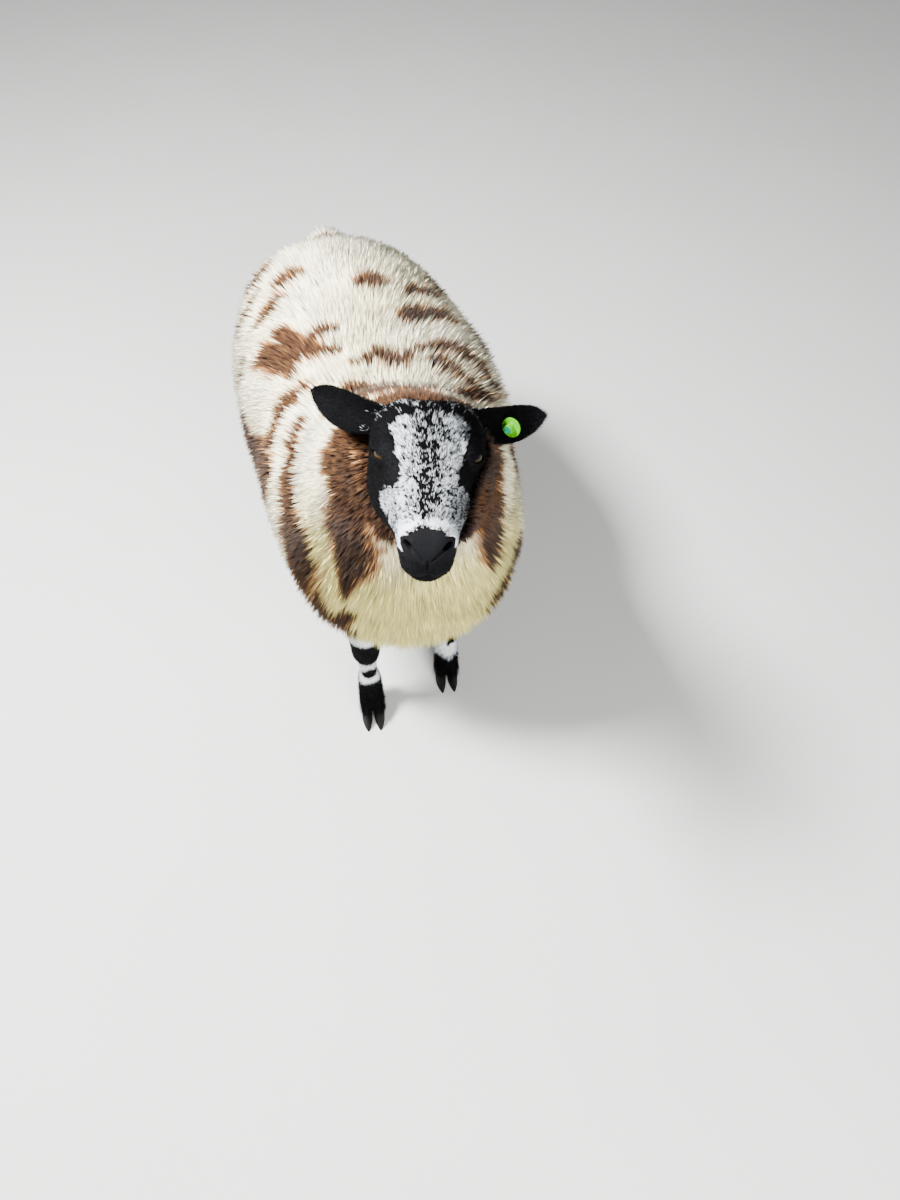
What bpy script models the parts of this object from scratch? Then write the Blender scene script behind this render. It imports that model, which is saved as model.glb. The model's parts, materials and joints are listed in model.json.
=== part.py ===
# A Dutch Spotted ewe lamb, about seven months old, standing and looking up at the viewer.
# Metres, +Z up. The lamb faces -Y, its left side is +X, and its soles are at Z = 0.

import math

import bmesh
import bpy
import numpy as np
from mathutils import Matrix, Vector

# Gap between pieces that touch
GAP = 0.0003

# Fleece: depth from the skin to the tips, and how far the body's core lies under the tips
FLEECE_DEPTH = 0.050
CORE_INSET = 0.5 * FLEECE_DEPTH
TAIL_CORE_INSET = 0.011

# Clumps of wool: spacing of their roots, radius against the spacing, how far the root sits in the core,
# how far the tips lean along the lie, and how much their height and width vary
CLUMP_SPACING = 0.091
TAIL_CLUMP_SPACING = 0.060
CLUMP_WIDTH = 0.66
CLUMP_SINK = 0.016
CLUMP_LEAN = 0.014
CLUMP_SIDES = 6
CLUMP_BANDS = ((-1.0, 0.80), (0.10, 1.00), (0.66, 0.78), (1.00, 0.36))
CLUMP_VARIATION = 0.14
CLUMP_SEED = 7

# Torso with its fleece, brisket to rump: place along Y, centre height, half width, rise to the back, drop to the belly
TORSO_STATIONS = (
    (-0.345, 0.411, 0.019, 0.021, 0.019),
    (-0.339, 0.412, 0.051, 0.053, 0.047),
    (-0.323, 0.414, 0.092, 0.096, 0.086),
    (-0.291, 0.418, 0.140, 0.137, 0.134),
    (-0.237, 0.428, 0.178, 0.163, 0.163),
    (-0.156, 0.433, 0.195, 0.172, 0.177),
    (-0.055, 0.429, 0.204, 0.175, 0.178),
    (0.061, 0.423, 0.215, 0.176, 0.178),
    (0.172, 0.425, 0.214, 0.181, 0.171),
    (0.268, 0.430, 0.201, 0.180, 0.158),
    (0.344, 0.434, 0.179, 0.167, 0.155),
    (0.392, 0.434, 0.148, 0.144, 0.143),
    (0.422, 0.434, 0.103, 0.102, 0.106),
    (0.436, 0.434, 0.056, 0.056, 0.057),
    (0.441, 0.434, 0.018, 0.018, 0.018),
)
# The spine turns a little to the right behind the shoulder: the body's middle stands at DRIFT u + BEND u^2
# across, with u counted back from the shoulder
SHOULDER_Y = -0.30
SPINE_DRIFT = -0.068
SPINE_BEND = -0.062
TORSO_SQUARENESS = 2.25
TORSO_RINGS = 20
TORSO_SIDES = 20

# Neck with its fleece, from inside the withers to the nape: x, y, z of the centre, half width, half depth
NECK_STATIONS = (
    (-0.004, -0.120, 0.450, 0.170, 0.152),
    (0.000, -0.185, 0.527, 0.157, 0.146),
    (0.005, -0.232, 0.592, 0.134, 0.128),
    (0.010, -0.264, 0.648, 0.108, 0.103),
    (0.014, -0.283, 0.694, 0.080, 0.078),
)
NECK_SQUARENESS = 2.1
NECK_RINGS = 9
NECK_SIDES = 16

# The cut between neck and torso: a point on it, and the way the neck lies
NECK_CUT_AT = (0.0, -0.250, 0.555)
NECK_CUT_NORMAL = (0.0, -0.60, 0.80)

# Tail with its fleece, root to tip: y and z of the centre, half width, half thickness
TAIL_STATIONS = (
    (0.398, 0.545, 0.022, 0.020),
    (0.424, 0.525, 0.034, 0.026),
    (0.439, 0.480, 0.038, 0.029),
    (0.446, 0.420, 0.037, 0.029),
    (0.447, 0.358, 0.033, 0.026),
    (0.442, 0.308, 0.022, 0.019),
    (0.438, 0.290, 0.010, 0.009),
)
TAIL_RINGS = 10
TAIL_SIDES = 12
# The flat where the tail lies against the rump's fleece
TAIL_FLAT_Y = 0.420
TAIL_POCKET_HALF_WIDTH = 0.046
TAIL_POCKET_LOW = 0.270
TAIL_POCKET_HIGH = 0.590

# Head pose: the occiput's place, how the head is turned, and its size against the tables below
HEAD_AT = (0.013, -0.281, 0.725)
HEAD_YAW = math.radians(-6.5)
HEAD_PITCH = math.radians(-17)
HEAD_ROLL = math.radians(2)
HEAD_SIZE = 1.03

# Head sections, occiput to nose: distance forward, centre height, and five radii from the crown
# round the side to the throat (crown, brow, side, cheek, throat)
HEAD_STATIONS = (
    (-0.012, -0.006, 0.030, 0.032, 0.030, 0.034, 0.032),
    (0.006, -0.006, 0.044, 0.050, 0.048, 0.056, 0.052),
    (0.038, -0.006, 0.056, 0.065, 0.057, 0.071, 0.070),
    (0.072, -0.008, 0.058, 0.070, 0.058, 0.076, 0.075),
    (0.102, -0.011, 0.051, 0.064, 0.052, 0.068, 0.069),
    (0.134, -0.014, 0.042, 0.051, 0.042, 0.053, 0.050),
    (0.164, -0.018, 0.036, 0.042, 0.034, 0.041, 0.034),
    (0.192, -0.021, 0.032, 0.036, 0.0295, 0.034, 0.027),
    (0.212, -0.024, 0.026, 0.031, 0.0275, 0.030, 0.025),
    (0.224, -0.027, 0.016, 0.021, 0.020, 0.021, 0.018),
)
HEAD_NOSE_TIP = (0.2285, -0.029)
HEAD_RINGS = 20
HEAD_SIDES = 22

# Lower jaw under the head: distance forward, centre height, half width, half depth
JAW_STATIONS = (
    (0.064, -0.044, 0.034, 0.038),
    (0.115, -0.046, 0.029, 0.031),
    (0.158, -0.049, 0.0225, 0.0215),
    (0.190, -0.0515, 0.0205, 0.0165),
    (0.208, -0.0525, 0.0185, 0.0140),
    (0.218, -0.0525, 0.0110, 0.0085),
)
JAW_RINGS = 9
JAW_SIDES = 12

# Eyes, in the head's frame
EYE_AT = (0.0450, -0.0990, 0.0155)
EYE_RADIUS = 0.0132
EYE_LOOK = (0.80, -0.58, 0.12)
ORBIT_RADII = (0.0215, 0.0270, 0.0215)
LID_HALF_WIDTH = 0.0128
LID_HALF_HEIGHT = 0.0072
LID_ROLL = 0.0021
LID_LIFT = 0.0118
OPENING_DEPTH = 0.016

# Nostrils, philtrum and mouth, in the head's frame
NOSTRIL_PATH = (
    (0.0016, -0.2300, -0.0330),
    (0.0085, -0.2270, -0.0265),
    (0.0150, -0.2210, -0.0190),
    (0.0205, -0.2140, -0.0140),
    (0.0255, -0.2090, -0.0175),
)
NOSTRIL_RADII = (0.0009, 0.0016, 0.0026, 0.0032, 0.0014)
PHILTRUM_PATH = ((0.0, -0.2310, -0.0330), (0.0, -0.2270, -0.0410), (0.0, -0.2200, -0.0470))
PHILTRUM_RADIUS = 0.0009
MOUTH_PATH = (
    (0.0330, -0.1600, -0.0420),
    (0.0295, -0.1830, -0.0440),
    (0.0240, -0.2030, -0.0455),
    (0.0130, -0.2170, -0.0460),
    (0.0000, -0.2210, -0.0460),
)
MOUTH_RADIUS = 0.0012

# Ears: length, half width and how the two are carried, in the head's frame
EAR_LENGTH = 0.113
EAR_HALF_WIDTH = 0.0215
EAR_THICKNESS = 0.0026
EAR_CLEARANCE = 0.0015
EAR_ROOT = (0.050, -0.028, 0.024)
EAR_SINK = 0.012
EAR_SWEEP = {"left": math.radians(31), "right": math.radians(39)}
EAR_LIFT = {"left": math.radians(-8), "right": math.radians(-1)}
EAR_OPENING_TILT = math.radians(30)
EAR_CURL_ROOT = math.radians(105)
EAR_CURL_TIP = math.radians(38)
EAR_DROOP = 0.008
EAR_BELLY = 0.0085
EAR_STEPS = 10
EAR_ACROSS = 8

# Ear tag in the left ear: two round leaves joined by a stem, with a cap on the front one
TAG_ALONG_EAR = 0.55
TAG_RADIUS = 0.0145
TAG_LEAF = 0.0018
TAG_STEM_RADIUS = 0.0026
TAG_HOLE_RADIUS = 0.0032
TAG_BOSS_RADIUS = 0.0056
TAG_BOSS_HEIGHT = 0.0075
TAG_CAP_RADIUS = 0.0044
TAG_CAP_HEIGHT = 0.0022
TAG_FRONT_CLEARANCE = 0.0050
TAG_BACK_CLEARANCE = 0.0012

# Fore leg sections, from inside the shoulder to the pastern: height, front, back, half width, about the cannon's line
FORE_STATIONS = (
    (0.360, -0.050, 0.060, 0.038),
    (0.310, -0.044, 0.052, 0.034),
    (0.262, -0.033, 0.037, 0.0285),
    (0.222, -0.027, 0.027, 0.0245),
    (0.195, -0.0265, 0.0225, 0.0232),
    (0.172, -0.0245, 0.0205, 0.0222),
    (0.150, -0.0165, 0.0165, 0.0160),
    (0.125, -0.0140, 0.0160, 0.0140),
    (0.104, -0.0145, 0.0180, 0.0148),
    (0.086, -0.0185, 0.0225, 0.0185),
    (0.070, -0.0250, 0.0190, 0.0195),
    (0.052, -0.0345, 0.0080, 0.0190),
    (0.040, -0.0400, 0.0010, 0.0190),
)
# Hind leg sections, from inside the thigh to the pastern
HIND_STATIONS = (
    (0.370, -0.140, 0.012, 0.046),
    (0.330, -0.118, 0.018, 0.041),
    (0.290, -0.084, 0.021, 0.034),
    (0.252, -0.046, 0.027, 0.0255),
    (0.230, -0.031, 0.031, 0.0220),
    (0.206, -0.026, 0.026, 0.0218),
    (0.180, -0.020, 0.0185, 0.0185),
    (0.150, -0.0150, 0.0160, 0.0145),
    (0.120, -0.0140, 0.0160, 0.0142),
    (0.104, -0.0150, 0.0180, 0.0150),
    (0.086, -0.0185, 0.0225, 0.0185),
    (0.070, -0.0250, 0.0190, 0.0195),
    (0.052, -0.0345, 0.0080, 0.0190),
    (0.040, -0.0400, 0.0010, 0.0190),
)
LEG_RINGS = 17
LEG_SIDES = 12
# Each foot's cannon line on the floor, and how far the leg's top stands out from it
FEET = {
    "leg_fore_right": (-0.0725, -0.225, -0.010, FORE_STATIONS),
    "leg_fore_left": (0.0725, -0.160, 0.010, FORE_STATIONS),
    "leg_hind_right": (-0.1480, 0.312, -0.006, HIND_STATIONS),
    "leg_hind_left": (0.0230, 0.342, 0.016, HIND_STATIONS),
}

# Claws: each foot has two, side by side, forward of the cannon's line
CLAW_OFFSET_X = 0.0112
CLAW_HALF_WIDTH = 0.0094
CLAW_HEEL = -0.006
CLAW_TOE = -0.066
CORONET_HEEL = -0.006
CORONET_TOE = -0.050
CORONET_HEIGHT_HEEL = 0.017
CORONET_HEIGHT_TOE = 0.029
CLAW_SIDES = 12
DIGIT_TOP = 0.066
DIGIT_TOP_CENTRE = -0.010
DIGIT_TOP_RADIUS = 0.0095
DEWCLAW_HEIGHT = 0.066
DEWCLAW_BACK = 0.0165
DEWCLAW_RADIUS = 0.0055
DEWCLAW_LENGTH = 0.013


def clear_scene():
    for obj in list(bpy.data.objects):
        bpy.data.objects.remove(obj)


def make_collections():
    """The lamb's own collection, and one for the cutters and pieces that are used up."""
    lamb = bpy.data.collections.new("ewe_lamb")
    bench = bpy.data.collections.new("bench")
    for collection in (lamb, bench):
        bpy.context.scene.collection.children.link(collection)
    bench.hide_render = True
    return lamb, bench


def make_material(name, colour, roughness, metallic=0.0):
    material = bpy.data.materials.new(name)
    material.use_nodes = True
    shader = material.node_tree.nodes["Principled BSDF"]
    shader.inputs["Base Color"].default_value = (*colour, 1.0)
    shader.inputs["Roughness"].default_value = roughness
    shader.inputs["Metallic"].default_value = metallic
    return material


def along_spline(rows, count):
    """The rows' numbers at count even steps along a Catmull-Rom spline through them."""
    rows = np.array(rows, float)
    padded = np.vstack([2 * rows[0] - rows[1], rows, 2 * rows[-1] - rows[-2]])
    places = np.linspace(0, len(rows) - 1, count)
    start = np.minimum(places.astype(int), len(rows) - 2)
    t = (places - start)[:, None]
    a, b, c, d = (padded[start + k] for k in range(4))
    return 0.5 * (
        2 * b + (c - a) * t + (2 * a - 5 * b + 4 * c - d) * t**2 + (3 * b - a - 3 * c + d) * t**3
    )


def mesh_object(name, points, faces, collection):
    """A closed mesh object whose faces point out."""
    mesh = bpy.data.meshes.new(name)
    mesh.from_pydata([tuple(p) for p in points], [], faces)
    work = bmesh.new()
    work.from_mesh(mesh)
    bmesh.ops.remove_doubles(work, verts=work.verts, dist=1e-6)
    bmesh.ops.recalc_face_normals(work, faces=work.faces)
    work.to_mesh(mesh)
    work.free()
    obj = bpy.data.objects.new(name, mesh)
    collection.objects.link(obj)
    return obj


def loft(name, rings, collection):
    """A closed skin over rings of equal count, with a fan of faces over each end."""
    rings = np.asarray(rings, float)
    count, sides = rings.shape[:2]
    points = np.vstack([rings.reshape(-1, 3), rings[0].mean(0), rings[-1].mean(0)])
    first, last = count * sides, count * sides + 1
    faces = []
    for k in range(count - 1):
        for i in range(sides):
            j = (i + 1) % sides
            a, b = k * sides + i, k * sides + j
            c, d = b + sides, a + sides
            faces.append((a, b, c))
            faces.append((a, c, d))
    for i in range(sides):
        j = (i + 1) % sides
        faces.append((first, j, i))
        faces.append((last, (count - 1) * sides + i, (count - 1) * sides + j))
    return mesh_object(name, points, faces, collection)


def superellipse(sides, power):
    """Unit cosines and sines of a superellipse, from the top round by +X."""
    angle = np.arange(sides) * 2 * math.pi / sides
    across, up = np.sin(angle), np.cos(angle)
    length = (np.abs(across) ** power + np.abs(up) ** power) ** (1 / power)
    return across / length, up / length


def spine_x(y):
    """How far the body's middle stands to the side at y."""
    behind = np.asarray(y) - SHOULDER_Y
    return SPINE_DRIFT * behind + SPINE_BEND * behind * np.abs(behind)


def torso_rings(inset=0.0, rings=TORSO_RINGS, sides=TORSO_SIDES):
    """Upright sections of the torso, drawn in from the fleece's tips by inset."""
    rows = along_spline(TORSO_STATIONS, rings)
    middle = 0.5 * (rows[0, 0] + rows[-1, 0])
    half = 0.5 * (rows[-1, 0] - rows[0, 0])
    rows[:, 0] = middle + (rows[:, 0] - middle) * (1 - inset / half)
    across, up = superellipse(sides, TORSO_SQUARENESS)
    width, rise, drop = (np.maximum(rows[:, k] - inset, 0.25 * rows[:, k]) for k in (2, 3, 4))
    x = spine_x(rows[:, 0:1]) + width[:, None] * across
    z = rows[:, 1:2] + np.where(up > 0, rise[:, None] * up, drop[:, None] * up)
    y = np.repeat(rows[:, 0:1], sides, axis=1)
    return np.stack([x, y, z], axis=-1)


def frames_along(centres, up):
    """Unit side and up vectors across a path, with up kept near the given one."""
    ahead = np.gradient(centres, axis=0)
    ahead /= np.linalg.norm(ahead, axis=1, keepdims=True)
    side = np.cross(ahead, up)
    side /= np.linalg.norm(side, axis=1, keepdims=True)
    return side, np.cross(side, ahead)


def neck_rings(inset=0.0, rings=NECK_RINGS, sides=NECK_SIDES):
    """Sections across the neck's rising path, drawn in from the tips by inset."""
    rows = along_spline(NECK_STATIONS, rings)
    side, up = frames_along(rows[:, :3], (0, 1, 0))
    across, rise = superellipse(sides, NECK_SQUARENESS)
    return (
        rows[:, None, :3]
        + side[:, None] * ((rows[:, 3:4] - inset) * across)[..., None]
        + up[:, None] * ((rows[:, 4:5] - inset) * rise)[..., None]
    )


def tail_rings(inset=0.0, rings=TAIL_RINGS, sides=TAIL_SIDES):
    """Sections across the hanging tail, drawn in from the tips by inset."""
    rows = along_spline(TAIL_STATIONS, rings)
    centres = np.stack([np.full(rings, spine_x(TAIL_FLAT_Y)), rows[:, 0], rows[:, 1]], axis=-1)
    side, up = frames_along(centres, (0, 1, 0))
    across, rise = superellipse(sides, 2.0)
    width, depth = (np.maximum(rows[:, k] - inset, 0.3 * rows[:, k]) for k in (2, 3))
    return (
        centres[:, None]
        + side[:, None] * (width[:, None] * across)[..., None]
        + up[:, None] * (depth[:, None] * rise)[..., None]
    )


def head_frame():
    """The head's own frame: x to its left, -y forward, z up, with its origin at the occiput."""
    return (
        Matrix.Translation(HEAD_AT)
        @ Matrix.Rotation(HEAD_YAW, 4, "Z")
        @ Matrix.Rotation(HEAD_PITCH, 4, "X")
        @ Matrix.Rotation(HEAD_ROLL, 4, "Y")
        @ Matrix.Scale(HEAD_SIZE, 4)
    )


def five_radii_ring(radii, sides):
    """Radii round a section whose crown, brow, side, cheek and throat radii are given, mirrored left and right."""
    keys = np.array([*radii, radii[3], radii[2], radii[1]])
    place = np.arange(sides) * len(keys) / sides
    start = place.astype(int)
    t = place - start
    a, b, c, d = (keys[(start + k) % len(keys)] for k in (-1, 0, 1, 2))
    return 0.5 * (2 * b + (c - a) * t + (2 * a - 5 * b + 4 * c - d) * t**2 + (3 * b - a - 3 * c + d) * t**3)


def head_rings(grow=0.0, rings=HEAD_RINGS, sides=HEAD_SIDES):
    """Upright sections of the skull and upper muzzle, in the head's frame, grown outwards by grow."""
    rows = along_spline(HEAD_STATIONS, rings)
    tip = rows[-1].copy()
    tip[0], tip[1] = HEAD_NOSE_TIP
    tip[2:] *= 0.55
    rows = np.vstack([rows, tip])
    rows[0, 0] -= grow
    rows[-1, 0] += grow
    angle = np.arange(sides) * 2 * math.pi / sides
    radii = np.array([five_radii_ring(row[2:], sides) for row in rows]) + grow
    x = radii * np.sin(angle)
    z = rows[:, 1:2] + radii * np.cos(angle)
    y = -np.repeat(rows[:, 0:1], sides, axis=1)
    return np.stack([x, y, z], axis=-1)


def jaw_rings(grow=0.0):
    """Upright sections of the lower jaw, in the head's frame."""
    rows = along_spline(JAW_STATIONS, JAW_RINGS)
    rows[0, 0] -= grow
    rows[-1, 0] += grow
    across, up = superellipse(JAW_SIDES, 2.2)
    x = (rows[:, 2:3] + grow) * across
    z = rows[:, 1:2] + (rows[:, 3:4] + grow) * up
    y = -np.repeat(rows[:, 0:1], JAW_SIDES, axis=1)
    return np.stack([x, y, z], axis=-1)


def leg_rings(foot, stations, grow=0.0):
    """Level sections of a leg from its top down to the pastern."""
    foot_x, foot_y, splay = foot
    rows = along_spline(stations, LEG_RINGS)
    top, bottom = rows[0, 0], rows[-1, 0]
    rows[0, 0] += grow
    across, ahead = superellipse(LEG_SIDES, 2.1)
    middle = 0.5 * (rows[:, 1] + rows[:, 2])
    half = 0.5 * (rows[:, 2] - rows[:, 1]) + grow
    centre_x = foot_x + splay * (rows[:, 0] - bottom) / (top - bottom)
    x = centre_x[:, None] + (rows[:, 3:4] + grow) * across
    y = foot_y + middle[:, None] + half[:, None] * ahead
    z = np.repeat(rows[:, 0:1], LEG_SIDES, axis=1)
    return np.stack([x, y, z], axis=-1)


def claw_outline(heel, toe, half_width):
    """A claw's outline seen from above: round at the heel, drawn to a point at the toe."""
    angle = np.arange(CLAW_SIDES) * 2 * math.pi / CLAW_SIDES
    middle, half = 0.5 * (heel + toe), 0.5 * (heel - toe)
    y = middle + half * np.cos(angle)
    taper = 1 - 0.45 * ((middle - y) / half).clip(0) ** 2
    return half_width * np.sin(angle) * taper, y


def coronet_ring(foot, side, drop):
    """The sloping edge where the horn meets the hair, drop below the true line."""
    x, y = claw_outline(CORONET_HEEL, CORONET_TOE, CLAW_HALF_WIDTH * 0.94)
    share = (y - CORONET_HEEL) / (CORONET_TOE - CORONET_HEEL)
    z = CORONET_HEIGHT_HEEL + share * (CORONET_HEIGHT_TOE - CORONET_HEIGHT_HEEL) - drop
    return np.stack([foot[0] + side * CLAW_OFFSET_X + x, foot[1] + y, z], axis=-1)


def make_claw(name, foot, side, lamb):
    """One horn claw, standing on its flat sole."""
    x, y = claw_outline(CLAW_HEEL, CLAW_TOE, CLAW_HALF_WIDTH)
    sole = np.stack([foot[0] + side * CLAW_OFFSET_X + x, foot[1] + y, np.zeros(CLAW_SIDES)], axis=-1)
    coronet = coronet_ring(foot, side, GAP)
    wall = 0.5 * (sole + coronet)
    wall[:, 0] += 0.0006 * np.sign(wall[:, 0] - foot[0] - side * CLAW_OFFSET_X)
    return loft(name, [sole, wall, coronet], lamb)


def make_digit(foot, side, bench):
    """The toe's flesh, from the claw's coronet up into the pastern."""
    coronet = coronet_ring(foot, side, 0.0)
    angle = np.arange(CLAW_SIDES) * 2 * math.pi / CLAW_SIDES
    x = foot[0] + side * 0.7 * CLAW_OFFSET_X + DIGIT_TOP_RADIUS * np.sin(angle)
    y = foot[1] + DIGIT_TOP_CENTRE + DIGIT_TOP_RADIUS * np.cos(angle)
    top = np.stack([x, y, np.full(CLAW_SIDES, DIGIT_TOP)], axis=-1)
    middle = 0.55 * coronet + 0.45 * top
    return loft("digit", [top, middle, coronet], bench)


def make_dewclaw(foot, side, bench):
    """A small horn peg behind the fetlock."""
    bpy.ops.mesh.primitive_cone_add(
        vertices=8, radius1=DEWCLAW_RADIUS, radius2=0.5 * DEWCLAW_RADIUS, depth=DEWCLAW_LENGTH
    )
    peg = bpy.context.object
    place = Vector((foot[0] + side * CLAW_OFFSET_X, foot[1] + DEWCLAW_BACK, DEWCLAW_HEIGHT))
    turn = Vector((0, 0.85, -0.55)).to_track_quat("Z", "X").to_matrix().to_4x4()
    peg.data.transform(Matrix.Translation(place) @ turn)
    move_to(peg, bench)
    return peg


def move_to(obj, collection):
    for old in list(obj.users_collection):
        old.objects.unlink(obj)
    collection.objects.link(obj)


def apply_modifiers(obj):
    graph = bpy.context.evaluated_depsgraph_get()
    mesh = bpy.data.meshes.new_from_object(obj.evaluated_get(graph))
    obj.modifiers.clear()
    obj.data = mesh


def keep_largest(obj):
    """Keeps the largest closed surface of the object's mesh."""
    work = bmesh.new()
    work.from_mesh(obj.data)
    unseen = set(work.verts)
    shells = []
    while unseen:
        shell, edge = set(), [unseen.pop()]
        while edge:
            vert = edge.pop()
            shell.add(vert)
            for link in vert.link_edges:
                other = link.other_vert(vert)
                if other in unseen:
                    unseen.discard(other)
                    edge.append(other)
        shells.append(shell)
    largest = max(shells, key=len)
    bmesh.ops.delete(work, geom=[v for v in work.verts if v not in largest], context="VERTS")
    work.to_mesh(obj.data)
    work.free()


def combine(obj, others, operation, solver="EXACT"):
    """One Boolean of obj with a collection of closed meshes, applied, with the others then removed."""
    group = bpy.data.collections.new("operands")
    bpy.context.scene.collection.children.link(group)
    for other in others:
        move_to(other, group)
    boolean = obj.modifiers.new("combine", "BOOLEAN")
    boolean.operation = operation
    boolean.operand_type = "COLLECTION"
    boolean.collection = group
    boolean.solver = solver
    apply_modifiers(obj)
    for other in others:
        bpy.data.objects.remove(other)
    bpy.data.collections.remove(group)
    keep_largest(obj)
    return obj


def make_box(low, high, bench):
    """A block between two corners."""
    bpy.ops.mesh.primitive_cube_add(size=1)
    block = bpy.context.object
    size = Vector(high) - Vector(low)
    block.data.transform(Matrix.Translation(Vector(low) + size / 2) @ Matrix.Diagonal((*size, 1)))
    move_to(block, bench)
    return block


def half_space(at, normal, bench):
    """A large block that fills the side of a plane which the normal points to."""
    block = make_box((-1, -1, 0), (1, 1, 2), bench)
    turn = Vector(normal).to_track_quat("Z", "Y").to_matrix().to_4x4()
    block.data.transform(Matrix.Translation(at) @ turn)
    return block


def copy_of(obj, name, collection):
    twin = bpy.data.objects.new(name, obj.data.copy())
    collection.objects.link(twin)
    return twin


def tube(name, path, radii, sides_level, bench):
    """A round tube along a smooth path with a radius at each point, as a closed mesh."""
    curve = bpy.data.curves.new(name, "CURVE")
    curve.dimensions = "3D"
    curve.bevel_depth = 1.0
    curve.bevel_resolution = sides_level
    curve.use_fill_caps = True
    spline = curve.splines.new("POLY")
    steps = 3 * len(path)
    rows = along_spline([(*p, r) for p, r in zip(path, radii)], steps)
    spline.points.add(steps - 1)
    for point, row in zip(spline.points, rows):
        point.co = (*row[:3], 1)
        point.radius = row[3]
    line = bpy.data.objects.new(name, curve)
    bench.objects.link(line)
    graph = bpy.context.evaluated_depsgraph_get()
    mesh = bpy.data.meshes.new_from_object(line.evaluated_get(graph))
    bpy.data.objects.remove(line)
    work = bmesh.new()
    work.from_mesh(mesh)
    bmesh.ops.remove_doubles(work, verts=work.verts, dist=1e-6)
    bmesh.ops.recalc_face_normals(work, faces=work.faces)
    work.to_mesh(mesh)
    work.free()
    obj = bpy.data.objects.new(name, mesh)
    bench.objects.link(obj)
    return obj


def mirrored(path):
    return [(-x, y, z) for x, y, z in path]


def looking_frame(side):
    """The eye's frame in the head's: its Z points the way the eye looks, its X lies along the lids."""
    look = Vector((side * EYE_LOOK[0], EYE_LOOK[1], EYE_LOOK[2])).normalized()
    along = Vector((0, 0, 1)).cross(look).normalized()
    up = look.cross(along)
    frame = Matrix((along, up, look)).transposed().to_4x4()
    return Matrix.Translation((side * EYE_AT[0], EYE_AT[1], EYE_AT[2])) @ frame


def make_ball(name, radii, place, segments, rows, collection):
    """An ellipsoid of the given radii, placed by a matrix."""
    bpy.ops.mesh.primitive_uv_sphere_add(segments=segments, ring_count=rows, radius=1)
    ball = bpy.context.object
    ball.name = name
    ball.data.transform(place @ Matrix.Diagonal((*radii, 1)))
    move_to(ball, collection)
    return ball


def make_lid(side, bench):
    """The rolled rim of both lids, an almond ring over the eye."""
    bpy.ops.mesh.primitive_torus_add(
        major_segments=18, minor_segments=6, major_radius=1.0, minor_radius=LID_ROLL / LID_HALF_WIDTH
    )
    ring = bpy.context.object
    shape = Matrix.Diagonal((LID_HALF_WIDTH, LID_HALF_HEIGHT * 1.1, LID_HALF_WIDTH, 1))
    ring.data.transform(looking_frame(side) @ Matrix.Translation((0, 0, LID_LIFT)) @ shape)
    move_to(ring, bench)
    return ring


def make_head(lamb, bench):
    """Skull, muzzle, jaw and lids in one piece, with the eyes' sockets, the nostrils and the line of the mouth cut in."""
    head = loft("head", head_rings(), lamb)
    grown = [loft("jaw", jaw_rings(), bench)]
    for side in (1, -1):
        place = Matrix.Translation((side * (EYE_AT[0] - 0.005), EYE_AT[1], EYE_AT[2]))
        grown.append(make_ball("orbit", ORBIT_RADII, place, 14, 8, bench))
        grown.append(make_lid(side, bench))
    combine(head, grown, "UNION")
    cuts = []
    for side in (1, -1):
        frame = looking_frame(side)
        socket = EYE_RADIUS + GAP
        cuts.append(make_ball("socket", (socket,) * 3, frame, 16, 10, bench))
        opening = Matrix.Translation((0, 0, EYE_RADIUS))
        radii = (LID_HALF_WIDTH - LID_ROLL, LID_HALF_HEIGHT - LID_ROLL * 0.5, OPENING_DEPTH)
        cuts.append(make_ball("opening", radii, frame @ opening, 16, 8, bench))
        path = NOSTRIL_PATH if side > 0 else mirrored(NOSTRIL_PATH)
        cuts.append(tube("nostril", path, NOSTRIL_RADII, 2, bench))
    mouth = list(MOUTH_PATH) + mirrored(MOUTH_PATH[-2::-1])
    cuts.append(tube("mouth", mouth, [MOUTH_RADIUS] * len(mouth), 1, bench))
    cuts.append(tube("philtrum", PHILTRUM_PATH, [PHILTRUM_RADIUS] * len(PHILTRUM_PATH), 1, bench))
    combine(head, cuts, "DIFFERENCE")
    head.data.transform(head_frame())
    return head


def head_envelope(grow, bench):
    """The skull and jaw grown outwards, to cut what meets them."""
    envelope = loft("head_envelope", head_rings(grow), bench)
    combine(envelope, [loft("jaw_envelope", jaw_rings(grow), bench)], "UNION")
    envelope.data.transform(head_frame())
    return envelope


def make_eye(name, side, lamb):
    """One eyeball, seated in its socket behind the lids."""
    return make_ball(name, (EYE_RADIUS,) * 3, head_frame() @ looking_frame(side), 14, 8, lamb)


def ear_frame(side):
    """The ear's frame in the head's: X to the tip, Z out of the cup's mouth."""
    word = "left" if side > 0 else "right"
    sweep, lift = EAR_SWEEP[word], EAR_LIFT[word]
    tip = Vector((side * math.cos(sweep) * math.cos(lift), math.sin(sweep) * math.cos(lift), math.sin(lift)))
    mouth = Vector((0, -math.cos(EAR_OPENING_TILT), math.sin(EAR_OPENING_TILT)))
    mouth = (mouth - tip * mouth.dot(tip)).normalized()
    across = mouth.cross(tip)
    frame = Matrix((tip, across, mouth)).transposed().to_4x4()
    return Matrix.Translation((side * EAR_ROOT[0], EAR_ROOT[1], EAR_ROOT[2])) @ frame


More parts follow.
